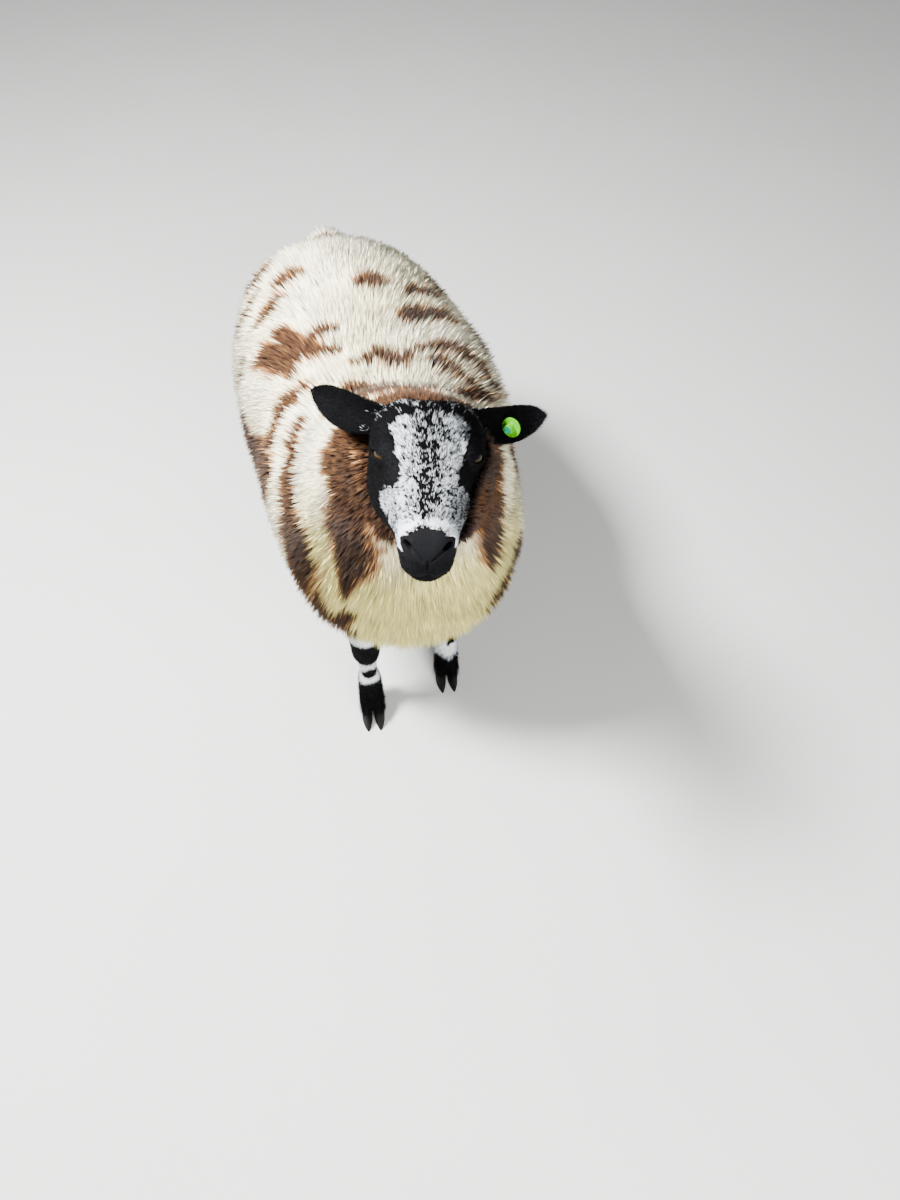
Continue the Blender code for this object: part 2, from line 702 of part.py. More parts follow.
def ear_point(share, across, side):
    """A point of the ear's leaf: share runs from root to tip, across from edge to edge (-1 to 1)."""
    width = EAR_HALF_WIDTH * (0.42 + 0.75 * math.sin(math.pi * share**0.85) ** 0.8) * (1 - share**6) ** 0.5
    width = max(width, 0.004)
    curl = EAR_CURL_ROOT + (EAR_CURL_TIP - EAR_CURL_ROOT) * min(1.0, share * 1.35)
    radius = width / math.sin(min(curl, math.pi / 2))
    angle = across * curl
    return Vector(
        (
            EAR_LENGTH * share,
            radius * math.sin(angle) - side * EAR_BELLY * math.sin(math.pi * share**0.8),
            -radius * math.cos(angle) + radius * math.cos(curl) * 0.4 - EAR_DROOP * share**2,
        )
    )


def ear_leaf(name, side, thickness, collection):
    """The ear's thin curled leaf as a closed mesh, in its place on the head."""
    points = []
    for k in range(EAR_STEPS + 1):
        for i in range(EAR_ACROSS + 1):
            share = k / EAR_STEPS
            points.append(ear_point(share, 2 * i / EAR_ACROSS - 1, side) - Vector((EAR_SINK * (1 - share), 0, 0)))
    row = EAR_ACROSS + 1
    faces = [
        (k * row + i, k * row + i + 1, (k + 1) * row + i + 1, (k + 1) * row + i)
        for k in range(EAR_STEPS)
        for i in range(EAR_ACROSS)
    ]
    mesh = bpy.data.meshes.new(name)
    mesh.from_pydata([tuple(p) for p in points], [], faces)
    mesh.transform(head_frame() @ ear_frame(side))
    leaf = bpy.data.objects.new(name, mesh)
    collection.objects.link(leaf)
    shell = leaf.modifiers.new("leaf", "SOLIDIFY")
    shell.thickness = thickness
    shell.offset = 0.0
    apply_modifiers(leaf)
    work = bmesh.new()
    work.from_mesh(leaf.data)
    bmesh.ops.recalc_face_normals(work, faces=work.faces)
    work.to_mesh(leaf.data)
    work.free()
    return leaf


def make_ear(name, side, lamb, bench):
    """One ear, open to the front, cut clear of the skull at its root."""
    ear = ear_leaf(name, side, EAR_THICKNESS, lamb)
    return combine(ear, [head_envelope(GAP, bench)], "DIFFERENCE")


def ear_clearance(side, bench):
    """The room an ear takes up with its cup filled, to keep the fleece clear of it."""
    room = ear_leaf("ear_clearance", side, EAR_THICKNESS + 2 * EAR_CLEARANCE, bench)
    work = bmesh.new()
    for vert in room.data.vertices:
        work.verts.new(vert.co)
    bmesh.ops.convex_hull(work, input=work.verts)
    bmesh.ops.delete(work, geom=[v for v in work.verts if not v.link_faces], context="VERTS")
    bmesh.ops.recalc_face_normals(work, faces=work.faces)
    work.to_mesh(room.data)
    work.free()
    return room


def tag_frame():
    """The tag's frame: its Z comes out of the left ear's cup."""
    seat = ear_point(TAG_ALONG_EAR, 0.0, 1) - Vector((EAR_SINK * (1 - TAG_ALONG_EAR), 0, 0))
    return head_frame() @ ear_frame(1) @ Matrix.Translation(seat)


def make_disc(name, radius, low, high, sides, frame, collection):
    """A round plate or pin between two heights of a frame."""
    bpy.ops.mesh.primitive_cylinder_add(vertices=sides, radius=radius, depth=high - low)
    disc = bpy.context.object
    disc.name = name
    disc.data.transform(frame @ Matrix.Translation((0, 0, 0.5 * (low + high))))
    move_to(disc, collection)
    return disc


def make_tag(ear, lamb, bench):
    """A button tag: a front leaf with a hollow boss, a cap in the boss, and a back leaf with its stem."""
    frame = tag_frame()
    front_low = TAG_FRONT_CLEARANCE + 0.5 * EAR_THICKNESS
    boss_high = front_low + TAG_BOSS_HEIGHT
    hole_high = boss_high - TAG_CAP_HEIGHT
    combine(
        ear,
        [make_disc("hole", TAG_HOLE_RADIUS, -0.01, 0.01, 16, frame, bench)],
        "DIFFERENCE",
    )
    front = make_disc("ear_tag_front", TAG_RADIUS, front_low, front_low + TAG_LEAF, 32, frame, lamb)
    boss = make_disc("boss", TAG_BOSS_RADIUS, front_low + 0.3 * TAG_LEAF, boss_high, 20, frame, bench)
    combine(front, [boss], "UNION")
    bores = [
        make_disc("bore", TAG_STEM_RADIUS + GAP, front_low - 0.001, hole_high - 0.001, 16, frame, bench),
        make_disc("seat", TAG_CAP_RADIUS + GAP, hole_high, boss_high + 0.001, 20, frame, bench),
    ]
    combine(front, bores, "DIFFERENCE")
    cap = make_disc("ear_tag_cap", TAG_CAP_RADIUS, hole_high + GAP, boss_high + 0.0004, 20, frame, lamb)
    back_high = -TAG_BACK_CLEARANCE - 0.5 * EAR_THICKNESS
    back = make_disc("ear_tag_back", TAG_RADIUS, back_high - TAG_LEAF, back_high, 32, frame, lamb)
    stem_high = hole_high - 0.001 - GAP
    stem = make_disc("stem", TAG_STEM_RADIUS, back_high - 0.5 * TAG_LEAF, stem_high, 16, frame, bench)
    combine(back, [stem], "UNION")
    return front, cap, back


def make_leg(name, lamb, bench):
    """One leg from inside the body to the coronets, with its two toes and two dewclaws."""
    foot_x, foot_y, splay, stations = FEET[name]
    foot = (foot_x, foot_y, splay)
    leg = loft(name, leg_rings(foot, stations), lamb)
    grown = []
    for side in (1, -1):
        grown.append(make_digit(foot, side, bench))
        grown.append(make_dewclaw(foot, side, bench))
    return combine(leg, grown, "UNION")


def leg_socket(name, bench):
    """The leg's upper part a gap larger, to seat it in the torso."""
    foot_x, foot_y, splay, stations = FEET[name]
    return loft("socket", leg_rings((foot_x, foot_y, splay), stations, GAP), bench)


def surface_points(rings):
    """The points of a closed band of rings, with their outward normals."""
    around = np.roll(rings, -1, axis=1) - np.roll(rings, 1, axis=1)
    along = np.gradient(rings, axis=0)
    normals = np.cross(along, around)
    normals /= np.maximum(np.linalg.norm(normals, axis=-1, keepdims=True), 1e-9)
    outward = rings - rings.mean(axis=1, keepdims=True)
    if (normals * outward).sum() < 0:
        normals = -normals
    return rings.reshape(-1, 3), normals.reshape(-1, 3)


def spread_roots(points, spacing, rng):
    """Indices of points that lie about a spacing apart: each next root is the point farthest from all before it."""
    chosen = [int(rng.integers(len(points)))]
    nearest = np.linalg.norm(points - points[chosen[0]], axis=1)
    while nearest.max() > 0.86 * spacing:
        chosen.append(int(nearest.argmax()))
        nearest = np.minimum(nearest, np.linalg.norm(points - points[chosen[-1]], axis=1))
    return chosen


def lie_of(point, normal):
    """The way the wool lies at a point of the skin: down the sides, back along the spine, down the chest."""
    down = np.array([0.0, 0.35, -1.0])
    lie = down - normal * (down @ normal)
    return lie / max(np.linalg.norm(lie), 1e-9)


def make_clump(root, normal, height, radius, rng, bench):
    """One rounded clump of wool, its base in the core and its tip leaning along the lie."""
    lie = lie_of(root, normal)
    across = np.cross(normal, lie)
    height = height * rng.uniform(1 - 0.5 * CLUMP_VARIATION, 1 + CLUMP_VARIATION)
    radius = radius * rng.uniform(1 - CLUMP_VARIATION, 1 + 0.5 * CLUMP_VARIATION)
    turn = rng.uniform(0, 2 * math.pi)
    angle = turn + np.arange(CLUMP_SIDES) * 2 * math.pi / CLUMP_SIDES
    rings = []
    for level, width in CLUMP_BANDS:
        rise = level * (CLUMP_SINK if level < 0 else height)
        centre = root + normal * rise + lie * CLUMP_LEAN * max(level, 0.0) ** 2
        ring = np.outer(np.cos(angle), lie) * 1.12 + np.outer(np.sin(angle), across) * 0.92
        rings.append(centre + radius * width * ring)
    return loft("clump", rings, bench)


def make_clumps(rings, inset, spacing, keep, seed, bench):
    """Clumps over the part of a core's surface for which keep is true."""
    rng = np.random.default_rng(seed)
    points, normals = surface_points(rings)
    inside = np.array([keep(point) for point in points])
    points, normals = points[inside], normals[inside]
    return [
        make_clump(points[k], normals[k], inset, CLUMP_WIDTH * spacing, rng, bench)
        for k in spread_roots(points, spacing, rng)
    ]


def outside_torso(point):
    """Whether a point lies clear of the torso's core."""
    rows = along_spline(TORSO_STATIONS, 60)
    middle, width, rise, drop = (np.interp(point[1], rows[:, 0], rows[:, k]) for k in (1, 2, 3, 4))
    up = point[2] - middle
    height = (rise if up > 0 else drop) - CORE_INSET
    across = abs(point[0] - spine_x(point[1])) / max(width - CORE_INSET, 0.01)
    return across**TORSO_SQUARENESS + abs(up / max(height, 0.01)) ** TORSO_SQUARENESS > 1.06


def make_body(bench):
    """Torso and neck as one: a core half the fleece's depth under the tips, set all over with clumps."""
    body = loft("body", torso_rings(CORE_INSET), bench)
    neck = loft("neck_core", neck_rings(CORE_INSET), bench)
    fine_torso = torso_rings(CORE_INSET, 90, 80)
    fine_neck = neck_rings(CORE_INSET, 40, 60)
    clumps = make_clumps(fine_torso, CORE_INSET, CLUMP_SPACING, lambda p: True, CLUMP_SEED, bench)
    clumps += make_clumps(fine_neck, CORE_INSET, CLUMP_SPACING, outside_torso, CLUMP_SEED, bench)
    return combine(body, [neck, *clumps], "UNION", "MANIFOLD")


def make_torso(body, lamb, bench):
    """The body's fleece from brisket to rump, with the seats for neck, legs and tail."""
    torso = copy_of(body, "torso", lamb)
    cuts = [
        half_space(NECK_CUT_AT, NECK_CUT_NORMAL, bench),
        make_box(
            (spine_x(TAIL_FLAT_Y) - TAIL_POCKET_HALF_WIDTH, TAIL_FLAT_Y, TAIL_POCKET_LOW),
            (spine_x(TAIL_FLAT_Y) + TAIL_POCKET_HALF_WIDTH, 0.6, TAIL_POCKET_HIGH),
            bench,
        ),
        *(leg_socket(name, bench) for name in FEET),
        head_envelope(GAP, bench),
    ]
    return combine(torso, cuts, "DIFFERENCE", "MANIFOLD")


def make_neck(body, lamb, bench):
    """The neck's fleece, from the cut above the withers to the nape, seated round the skull and ears."""
    neck = copy_of(body, "neck", lamb)
    normal = Vector(NECK_CUT_NORMAL).normalized()
    below = half_space(Vector(NECK_CUT_AT) + GAP * normal, -normal, bench)
    cuts = [below, head_envelope(GAP, bench), ear_clearance(1, bench), ear_clearance(-1, bench)]
    return combine(neck, cuts, "DIFFERENCE", "MANIFOLD")


def make_tail(lamb, bench):
    """The woolly tail, hanging flat against the rump."""
    tail = loft("tail", tail_rings(TAIL_CORE_INSET), lamb)
    fine = tail_rings(TAIL_CORE_INSET, 40, 32)
    clumps = make_clumps(fine, TAIL_CORE_INSET, TAIL_CLUMP_SPACING, lambda p: p[1] > TAIL_FLAT_Y + 0.006, CLUMP_SEED, bench)
    combine(tail, clumps, "UNION", "MANIFOLD")
    front = make_box((-0.3, 0.0, 0.0), (0.3, TAIL_FLAT_Y + GAP, 1.0), bench)
    return combine(tail, [front], "DIFFERENCE")


def centre_on_origin(objects):
    """Moves every object's mesh so that the whole stands centred over the origin, on Z = 0."""
    corners = np.array([v.co for obj in objects for v in obj.data.vertices])
    low, high = corners.min(0), corners.max(0)
    shift = Vector((-(low[0] + high[0]) / 2, -(low[1] + high[1]) / 2, -low[2]))
    for obj in objects:
        obj.data.transform(Matrix.Translation(shift))
    print("moved by", tuple(round(v, 5) for v in shift))


def main():
    clear_scene()
    lamb, bench = make_collections()
    fleece = make_material("fleece", (0.80, 0.72, 0.58), 0.95)
    hide = make_material("hide", (0.03, 0.03, 0.035), 0.8)
    horn = make_material("horn", (0.04, 0.035, 0.03), 0.5)
    eye = make_material("eye", (0.42, 0.26, 0.07), 0.08)
    tag_leaf = make_material("tag_leaf", (0.35, 0.75, 0.05), 0.35)
    tag_cap = make_material("tag_cap", (0.02, 0.45, 0.32), 0.35)
    made = {}
    body = make_body(bench)
    for obj in (make_torso(body, lamb, bench), make_neck(body, lamb, bench), make_tail(lamb, bench)):
        made[obj] = fleece
    bpy.data.objects.remove(body)
    made[make_head(lamb, bench)] = hide
    for word, side in (("left", 1), ("right", -1)):
        ear = make_ear(f"ear_{word}", side, lamb, bench)
        made[ear] = hide
        made[make_eye(f"eye_{word}", side, lamb)] = eye
        if side > 0:
            front, cap, back = make_tag(ear, lamb, bench)
            made.update({front: tag_leaf, cap: tag_cap, back: tag_leaf})
    for name in FEET:
        made[make_leg(name, lamb, bench)] = hide
        for word, side in (("left", 1), ("right", -1)):
            foot = FEET[name][:3]
            made[make_claw(name.replace("leg", "claw") + f"_{word}", foot, side, lamb)] = horn
    for obj, material in made.items():
        obj.data.materials.clear()
        obj.data.materials.append(material)
    centre_on_origin(list(made))


main()
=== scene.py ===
# A life-size, still model of a Dutch Spotted ewe lamb, standing and looking up at the viewer.
# The lamb faces -Y with its left side towards +X, and stands on the floor at Z = 0. All lengths are in metres.

import json
import math

import bpy
import numpy as np
from mathutils import Matrix, Vector

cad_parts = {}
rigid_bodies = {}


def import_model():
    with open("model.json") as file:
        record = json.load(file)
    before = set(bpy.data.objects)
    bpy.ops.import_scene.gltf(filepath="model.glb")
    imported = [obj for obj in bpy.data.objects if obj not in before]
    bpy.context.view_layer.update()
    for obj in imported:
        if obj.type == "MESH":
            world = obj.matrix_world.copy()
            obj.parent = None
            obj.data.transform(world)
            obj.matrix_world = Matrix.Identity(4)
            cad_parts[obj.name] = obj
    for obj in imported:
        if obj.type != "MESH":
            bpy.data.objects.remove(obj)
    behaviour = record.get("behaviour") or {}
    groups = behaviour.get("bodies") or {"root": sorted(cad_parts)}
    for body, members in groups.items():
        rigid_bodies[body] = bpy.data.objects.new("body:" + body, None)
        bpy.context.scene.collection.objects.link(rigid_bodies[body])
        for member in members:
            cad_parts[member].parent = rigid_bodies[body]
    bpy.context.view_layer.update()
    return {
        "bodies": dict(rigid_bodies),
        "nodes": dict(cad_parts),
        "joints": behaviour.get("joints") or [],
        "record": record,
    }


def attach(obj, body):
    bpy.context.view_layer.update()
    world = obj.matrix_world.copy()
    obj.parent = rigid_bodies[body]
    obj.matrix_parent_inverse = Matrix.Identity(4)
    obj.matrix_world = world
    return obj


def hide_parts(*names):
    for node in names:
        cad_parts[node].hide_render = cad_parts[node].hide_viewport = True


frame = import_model()


# The view: someone standing in front of the lamb looks down at it, a little from its right side.
# Place, turn and lens were fitted to the lamb's outline in the photograph.
CAMERA_AT = (-0.0515, -1.0197, 1.4204)
CAMERA_TURN = math.radians(-10.65)
CAMERA_LOOKS_DOWN = math.radians(53.70)
CAMERA_ROLL = math.radians(3.47)

camera = bpy.data.objects.new("view", bpy.data.cameras.new("view"))
camera.data.sensor_fit = "AUTO"
camera.data.sensor_width = 36
camera.data.lens = 25.91
camera.matrix_world = (
    Matrix.Translation(CAMERA_AT)
    @ Matrix.Rotation(CAMERA_TURN, 4, "Z")
    @ Matrix.Rotation(math.pi / 2 - CAMERA_LOOKS_DOWN, 4, "X")
    @ Matrix.Rotation(CAMERA_ROLL, 4, "Z")
)
bpy.context.scene.collection.objects.link(camera)
bpy.context.scene.camera = camera


# The studio: a pale floor, a strong soft light above and to the left, a weaker one in front, and an even sky
# all round. Each light is a place, a size and a power.
FLOOR_SIZE = 12.0
FLOOR_COLOUR = (0.40, 0.40, 0.39, 1)
FLOOR_MOTTLE = 0.97
SKY_COLOUR = (0.97, 0.98, 1.0, 1)
SKY_STRENGTH = 0.50
SOFT_LIGHTS = (((-1.3, -0.2, 2.5), 0.6, 560), ((0.7, -2.3, 1.5), 1.2, 165))
LIGHTS_AIM_AT = (0, 0, 0.4)


def make_mesh(name, points, faces):
    """A mesh from arrays of points and of triangles or quads."""
    mesh = bpy.data.meshes.new(name)
    mesh.vertices.add(len(points))
    mesh.vertices.foreach_set("co", np.asarray(points, np.float32).ravel())
    mesh.loops.add(faces.size)
    mesh.loops.foreach_set("vertex_index", faces.astype(np.int32).ravel())
    mesh.polygons.add(len(faces))
    mesh.polygons.foreach_set("loop_start", np.arange(len(faces), dtype=np.int32) * faces.shape[1])
    mesh.update(calc_edges=True)
    mesh.shade_smooth()
    return mesh


def place_object(name, mesh):
    obj = bpy.data.objects.new(name, mesh)
    bpy.context.scene.collection.objects.link(obj)
    return obj


def new_material(name, finish):
    """A material whose even finishes are set on the shader's own sockets."""
    material = bpy.data.materials.new(name)
    material.use_nodes = True
    shader = material.node_tree.nodes["Principled BSDF"]
    for socket, value in finish.items():
        shader.inputs[socket].default_value = value
    return material, material.node_tree, shader


def add_node(tree, kind, inputs=None, **settings):
    """A shader node with its settings; its inputs are numbers, colours or other nodes' sockets."""
    node = tree.nodes.new(kind)
    for key, value in settings.items():
        setattr(node, key, value)
    for key, value in (inputs or {}).items():
        if isinstance(value, bpy.types.NodeSocket):
            tree.links.new(value, node.inputs[key])
        else:
            node.inputs[key].default_value = value
    return node


def noise(tree, scale, detail=2.0, roughness=0.5):
    where = add_node(tree, "ShaderNodeTexCoord").outputs["Object"]
    inputs = {"Vector": where, "Scale": scale, "Detail": detail, "Roughness": roughness}
    return add_node(tree, "ShaderNodeTexNoise", inputs).outputs["Fac"]


def blend(tree, factor, first, second, kind="MIX"):
    return add_node(
        tree, "ShaderNodeMix", {0: factor, 6: first, 7: second}, data_type="RGBA", blend_type=kind
    ).outputs[2]


def spread_out(tree, value, low, high, start=0, end=1):
    """The value carried from low..high to start..end and held there."""
    return add_node(tree, "ShaderNodeMapRange", {"Value": value, 1: low, 2: high, 3: start, 4: end}).outputs[0]


corner = FLOOR_SIZE / 2
floor_points = np.array([(-corner, -corner, 0), (corner, -corner, 0), (corner, corner, 0), (-corner, corner, 0)])
floor = place_object("floor", make_mesh("floor", floor_points, np.array([[0, 1, 2, 3]])))
paper, tree, shader = new_material("studio_paper", {"Roughness": 0.9})
grain = spread_out(tree, noise(tree, 3.0), 0.3, 0.7)
mottle = tuple(FLOOR_MOTTLE * c for c in FLOOR_COLOUR[:3]) + (1,)
tree.links.new(blend(tree, grain, FLOOR_COLOUR, mottle), shader.inputs["Base Color"])
floor.data.materials.append(paper)

world = bpy.data.worlds.new("sky")
world.use_nodes = True
world.node_tree.nodes["Background"].inputs["Color"].default_value = SKY_COLOUR
world.node_tree.nodes["Background"].inputs["Strength"].default_value = SKY_STRENGTH
bpy.context.scene.world = world
for number, (place, size, power) in enumerate(SOFT_LIGHTS):
    light = bpy.data.lights.new(f"soft_light_{number}", "AREA")
    light.size = size
    light.energy = power
    lamp = bpy.data.objects.new(light.name, light)
    lamp.location = place
    lamp.rotation_euler = (Vector(LIGHTS_AIM_AT) - Vector(place)).to_track_quat("-Z", "Y").to_euler()
    bpy.context.scene.collection.objects.link(lamp)


# The body under the wool: barrel, neck, breast and tail in one skin. The tables give the outline of the fleece's
# tips, and the skin lies WOOL_DEPTH under them, on the tail TAIL_WOOL_DEPTH. PLACE moves the whole lamb so that
# the middle of the solids' box is over the origin.
PLACE = np.array([0.03659, 0.01616, 0.0])
WOOL_DEPTH = 0.028
TAIL_WOOL_DEPTH = 0.012
# Along the spine: y, height of the middle, half width, rise, drop
BARREL_STATIONS = (
    (-0.345, 0.411, 0.019, 0.021, 0.019), (-0.339, 0.412, 0.051, 0.053, 0.047), (-0.323, 0.414, 0.092, 0.096, 0.086),
    (-0.291, 0.418, 0.14, 0.137, 0.134), (-0.237, 0.428, 0.178, 0.163, 0.163), (-0.156, 0.433, 0.195, 0.172, 0.177),
    (-0.055, 0.429, 0.204, 0.175, 0.178), (0.061, 0.423, 0.215, 0.176, 0.178), (0.172, 0.425, 0.214, 0.181, 0.171),
    (0.268, 0.43, 0.201, 0.18, 0.158), (0.344, 0.434, 0.179, 0.167, 0.155), (0.392, 0.434, 0.148, 0.144, 0.143),
    (0.422, 0.434, 0.103, 0.102, 0.106), (0.436, 0.434, 0.056, 0.056, 0.057), (0.441, 0.434, 0.018, 0.018, 0.018),
)
SHOULDER_Y = -0.30
SPINE_DRIFT = -0.068
SPINE_BEND = -0.062
BARREL_SQUARENESS = 2.25
# Middle, half width, half depth
NECK_STATIONS = (
    (-0.004, -0.12, 0.45, 0.17, 0.152), (0.0, -0.185, 0.527, 0.157, 0.146), (0.005, -0.232, 0.592, 0.134, 0.128),
    (0.01, -0.264, 0.648, 0.108, 0.103), (0.014, -0.283, 0.694, 0.08, 0.078),
)
NECK_SQUARENESS = 2.1
# y and z of the middle, half width, half depth
TAIL_STATIONS = (
    (0.398, 0.545, 0.022, 0.02), (0.424, 0.525, 0.034, 0.026), (0.439, 0.48, 0.038, 0.029),
    (0.446, 0.42, 0.037, 0.029), (0.447, 0.358, 0.033, 0.026), (0.442, 0.308, 0.022, 0.019),
    (0.438, 0.29, 0.01, 0.009),
)
TAIL_Y = 0.420
BREAST_AT = (0.003, -0.205, 0.492)
BREAST_RADII = (0.128, 0.122, 0.135)
BODY_GRAIN = 0.008
BODY_SOFTENING = 36
TAIL_GRAIN = 0.004
TAIL_SOFTENING = 3


def catmull_rom(a, b, c, d, t):
    """The cubic from b to c whose slope at either is half the difference of its two neighbours."""
    return 0.5 * (2 * b + (c - a) * t + (2 * a - 5 * b + 4 * c - d) * t**2 + (3 * b - a - 3 * c + d) * t**3)


def along_spline(rows, count):
    """The rows' numbers at count even steps of a Catmull-Rom spline."""
    rows = np.array(rows, float)
    padded = np.vstack([2 * rows[0] - rows[1], rows, 2 * rows[-1] - rows[-2]])
    places = np.linspace(0, len(rows) - 1, count)
    start = np.minimum(places.astype(int), len(rows) - 2)
    return catmull_rom(*(padded[start + k] for k in range(4)), (places - start)[:, None])


def turns(sides):
    """Even angles round a circle."""
    return np.arange(sides) * 2 * math.pi / sides


def superellipse(sides, power):
    """Points of |x|^p + |y|^p = 1, from the top round by +X."""
    across, up = np.sin(turns(sides)), np.cos(turns(sides))
    length = (np.abs(across) ** power + np.abs(up) ** power) ** (1 / power)
    return across / length, up / length


def spine_x(y):
    """The spine's place across: DRIFT u + BEND u |u|, u counted back from the shoulder."""
    behind = np.asarray(y) - SHOULDER_Y
    return SPINE_DRIFT * behind + SPINE_BEND * behind * np.abs(behind)


def barrel_rings(inset, rings, sides):
    """Upright superellipses along the spine, each half width, rise and drop less the inset."""
    rows = along_spline(BARREL_STATIONS, rings)
    middle = 0.5 * (rows[0, 0] + rows[-1, 0])
    half = 0.5 * (rows[-1, 0] - rows[0, 0])
    rows[:, 0] = middle + (rows[:, 0] - middle) * (1 - inset / half)
    across, up = superellipse(sides, BARREL_SQUARENESS)
    width, rise, drop = (np.maximum(rows[:, k] - inset, 0.25 * rows[:, k]) for k in (2, 3, 4))
    x = spine_x(rows[:, 0:1]) + width[:, None] * across
    z = rows[:, 1:2] + np.where(up > 0, rise[:, None] * up, drop[:, None] * up)
    y = np.repeat(rows[:, 0:1], sides, axis=1)
    return np.stack([x, y, z], axis=-1) + PLACE


def unit(vectors):
    return vectors / np.maximum(np.linalg.norm(vectors, axis=-1, keepdims=True), 1e-9)


def swept_rings(centres, width, depth, up, sides, power=2.0):
    """A superellipse carried square to a path: centre + side * width * x + rise * depth * y, with the rise kept
    near the given up."""
    ahead = unit(np.gradient(centres, axis=0))
    side = unit(np.cross(ahead, up))
    rise = np.cross(side, ahead)
    across, high = superellipse(sides, power)
    return (
        centres[:, None]
        + side[:, None] * (width[:, None] * across)[..., None]
        + rise[:, None] * (depth[:, None] * high)[..., None]
    )


def neck_rings(inset, rings, sides):
    rows = along_spline(NECK_STATIONS, rings)
    return swept_rings(rows[:, :3] + PLACE, rows[:, 3] - inset, rows[:, 4] - inset, (0, 1, 0), sides, NECK_SQUARENESS)


def tail_rings(inset, rings, sides):
    rows = along_spline(TAIL_STATIONS, rings)
    centres = np.stack([np.full(rings, spine_x(TAIL_Y)), rows[:, 0], rows[:, 1]], axis=-1) + PLACE
    width, depth = (np.maximum(rows[:, k] - inset, 0.3 * rows[:, k]) for k in (2, 3))
    return swept_rings(centres, width, depth, (0, 1, 0), sides)


def ball_rings(radii, rings, sides):
    """An ellipsoid about the origin as rings of latitude along its z."""
    height = np.linspace(0.04, math.pi - 0.04, rings)[:, None]
    x, y = (np.sin(height) * wave(turns(sides)) for wave in (np.cos, np.sin))
    return np.stack([x, y, np.repeat(np.cos(height), sides, axis=1)], axis=-1) * np.array(radii)


def facing_out(points, faces):
    """The triangles, turned if the volume, the sum of a . (b x c) over them, is negative."""
    a, b, c = (points[faces[:, k]] for k in range(3))
    return faces[:, ::-1] if (a * np.cross(b, c)).sum() < 0 else faces


def closed(rings):
    """Points and triangles of the skin over a stack of rings, with a fan over each end."""
    rows, sides = rings.shape[:2]
    points = np.concatenate([rings.reshape(-1, 3), rings[:1].mean(1), rings[-1:].mean(1)])
    here = np.arange(sides)
    after = (here + 1) % sides
    band = (np.arange(rows - 1) * sides)[:, None]
    low, high = (band + here).ravel(), (band + after).ravel()
    last = (rows - 1) * sides
    faces = [
        np.stack([low, high, high + sides], 1),
        np.stack([low, high + sides, low + sides], 1),
        np.stack([after, here, np.full(sides, rows * sides)], 1),
        np.stack([last + here, last + after, np.full(sides, rows * sides + 1)], 1),
    ]
    return points, facing_out(points, np.concatenate(faces))


def gathered(solids):
    """Many closed skins as one set of points and triangles."""
    counts = np.cumsum([0] + [len(points) for points, faces in solids[:-1]])
    faces = np.concatenate([faces + start for start, (points, faces) in zip(counts, solids)])
    return np.concatenate([points for points, faces in solids]), faces


def apply_modifiers(obj):
    graph = bpy.context.evaluated_depsgraph_get()
    mesh = bpy.data.meshes.new_from_object(obj.evaluated_get(graph))
    obj.modifiers.clear()
    obj.data = mesh


def soften(obj, repeats, strength=0.5):
    smooth = obj.modifiers.new("soften", "SMOOTH")
    smooth.factor = strength
    smooth.iterations = repeats


def grown_together(name, solids, grain, repeats):
    """One skin over overlapping closed solids, with faces about as large as the grain, its creases softened."""
    obj = place_object(name, make_mesh(name, *gathered(solids)))
    remesh = obj.modifiers.new("skin", "REMESH")
    remesh.mode = "VOXEL"
    remesh.voxel_size = grain
    remesh.use_smooth_shade = True
    soften(obj, repeats)
    apply_modifiers(obj)
    return obj


def combine(obj, others, operation):
    """The Boolean of an object with other objects or closed skins, applied."""
    group = bpy.data.collections.new("operands")
    bpy.context.scene.collection.children.link(group)
    for solid in others:
        other = solid if isinstance(solid, bpy.types.Object) else bpy.data.objects.new("cut", make_mesh("cut", *solid))
        for old in list(other.users_collection):
            old.objects.unlink(other)
        group.objects.link(other)
    boolean = obj.modifiers.new("combine", "BOOLEAN")
    boolean.operation = operation
    boolean.operand_type = "COLLECTION"
    boolean.collection = group
    boolean.solver = "MANIFOLD"
    apply_modifiers(obj)
    for other in list(group.objects):
        bpy.data.objects.remove(other)
    bpy.data.collections.remove(group)


body_solids = [
    closed(barrel_rings(WOOL_DEPTH, 60, 64)),
    closed(neck_rings(WOOL_DEPTH, 30, 48)),
    closed(ball_rings(BREAST_RADII, 24, 40) + PLACE + BREAST_AT),
]
body = grown_together("body", body_solids, BODY_GRAIN, BODY_SOFTENING)
tail = grown_together("tail_skin", [closed(tail_rings(TAIL_WOOL_DEPTH, 30, 24))], TAIL_GRAIN, TAIL_SOFTENING)
combine(body, [tail], "UNION")


# The head: skull and muzzle, lower jaw, lips, the swell of the eye sockets and the rolled lids, in the head's own
# frame, whose -y runs to the nose and whose origin is the back of the skull. Nostrils, the groove below them and
# the line of the mouth are cut in.
HEAD_AT = (0.013, -0.281, 0.725)
HEAD_YAW = math.radians(-6.5)
HEAD_PITCH = math.radians(-17)
HEAD_ROLL = math.radians(2)
HEAD_SIZE = 1.03
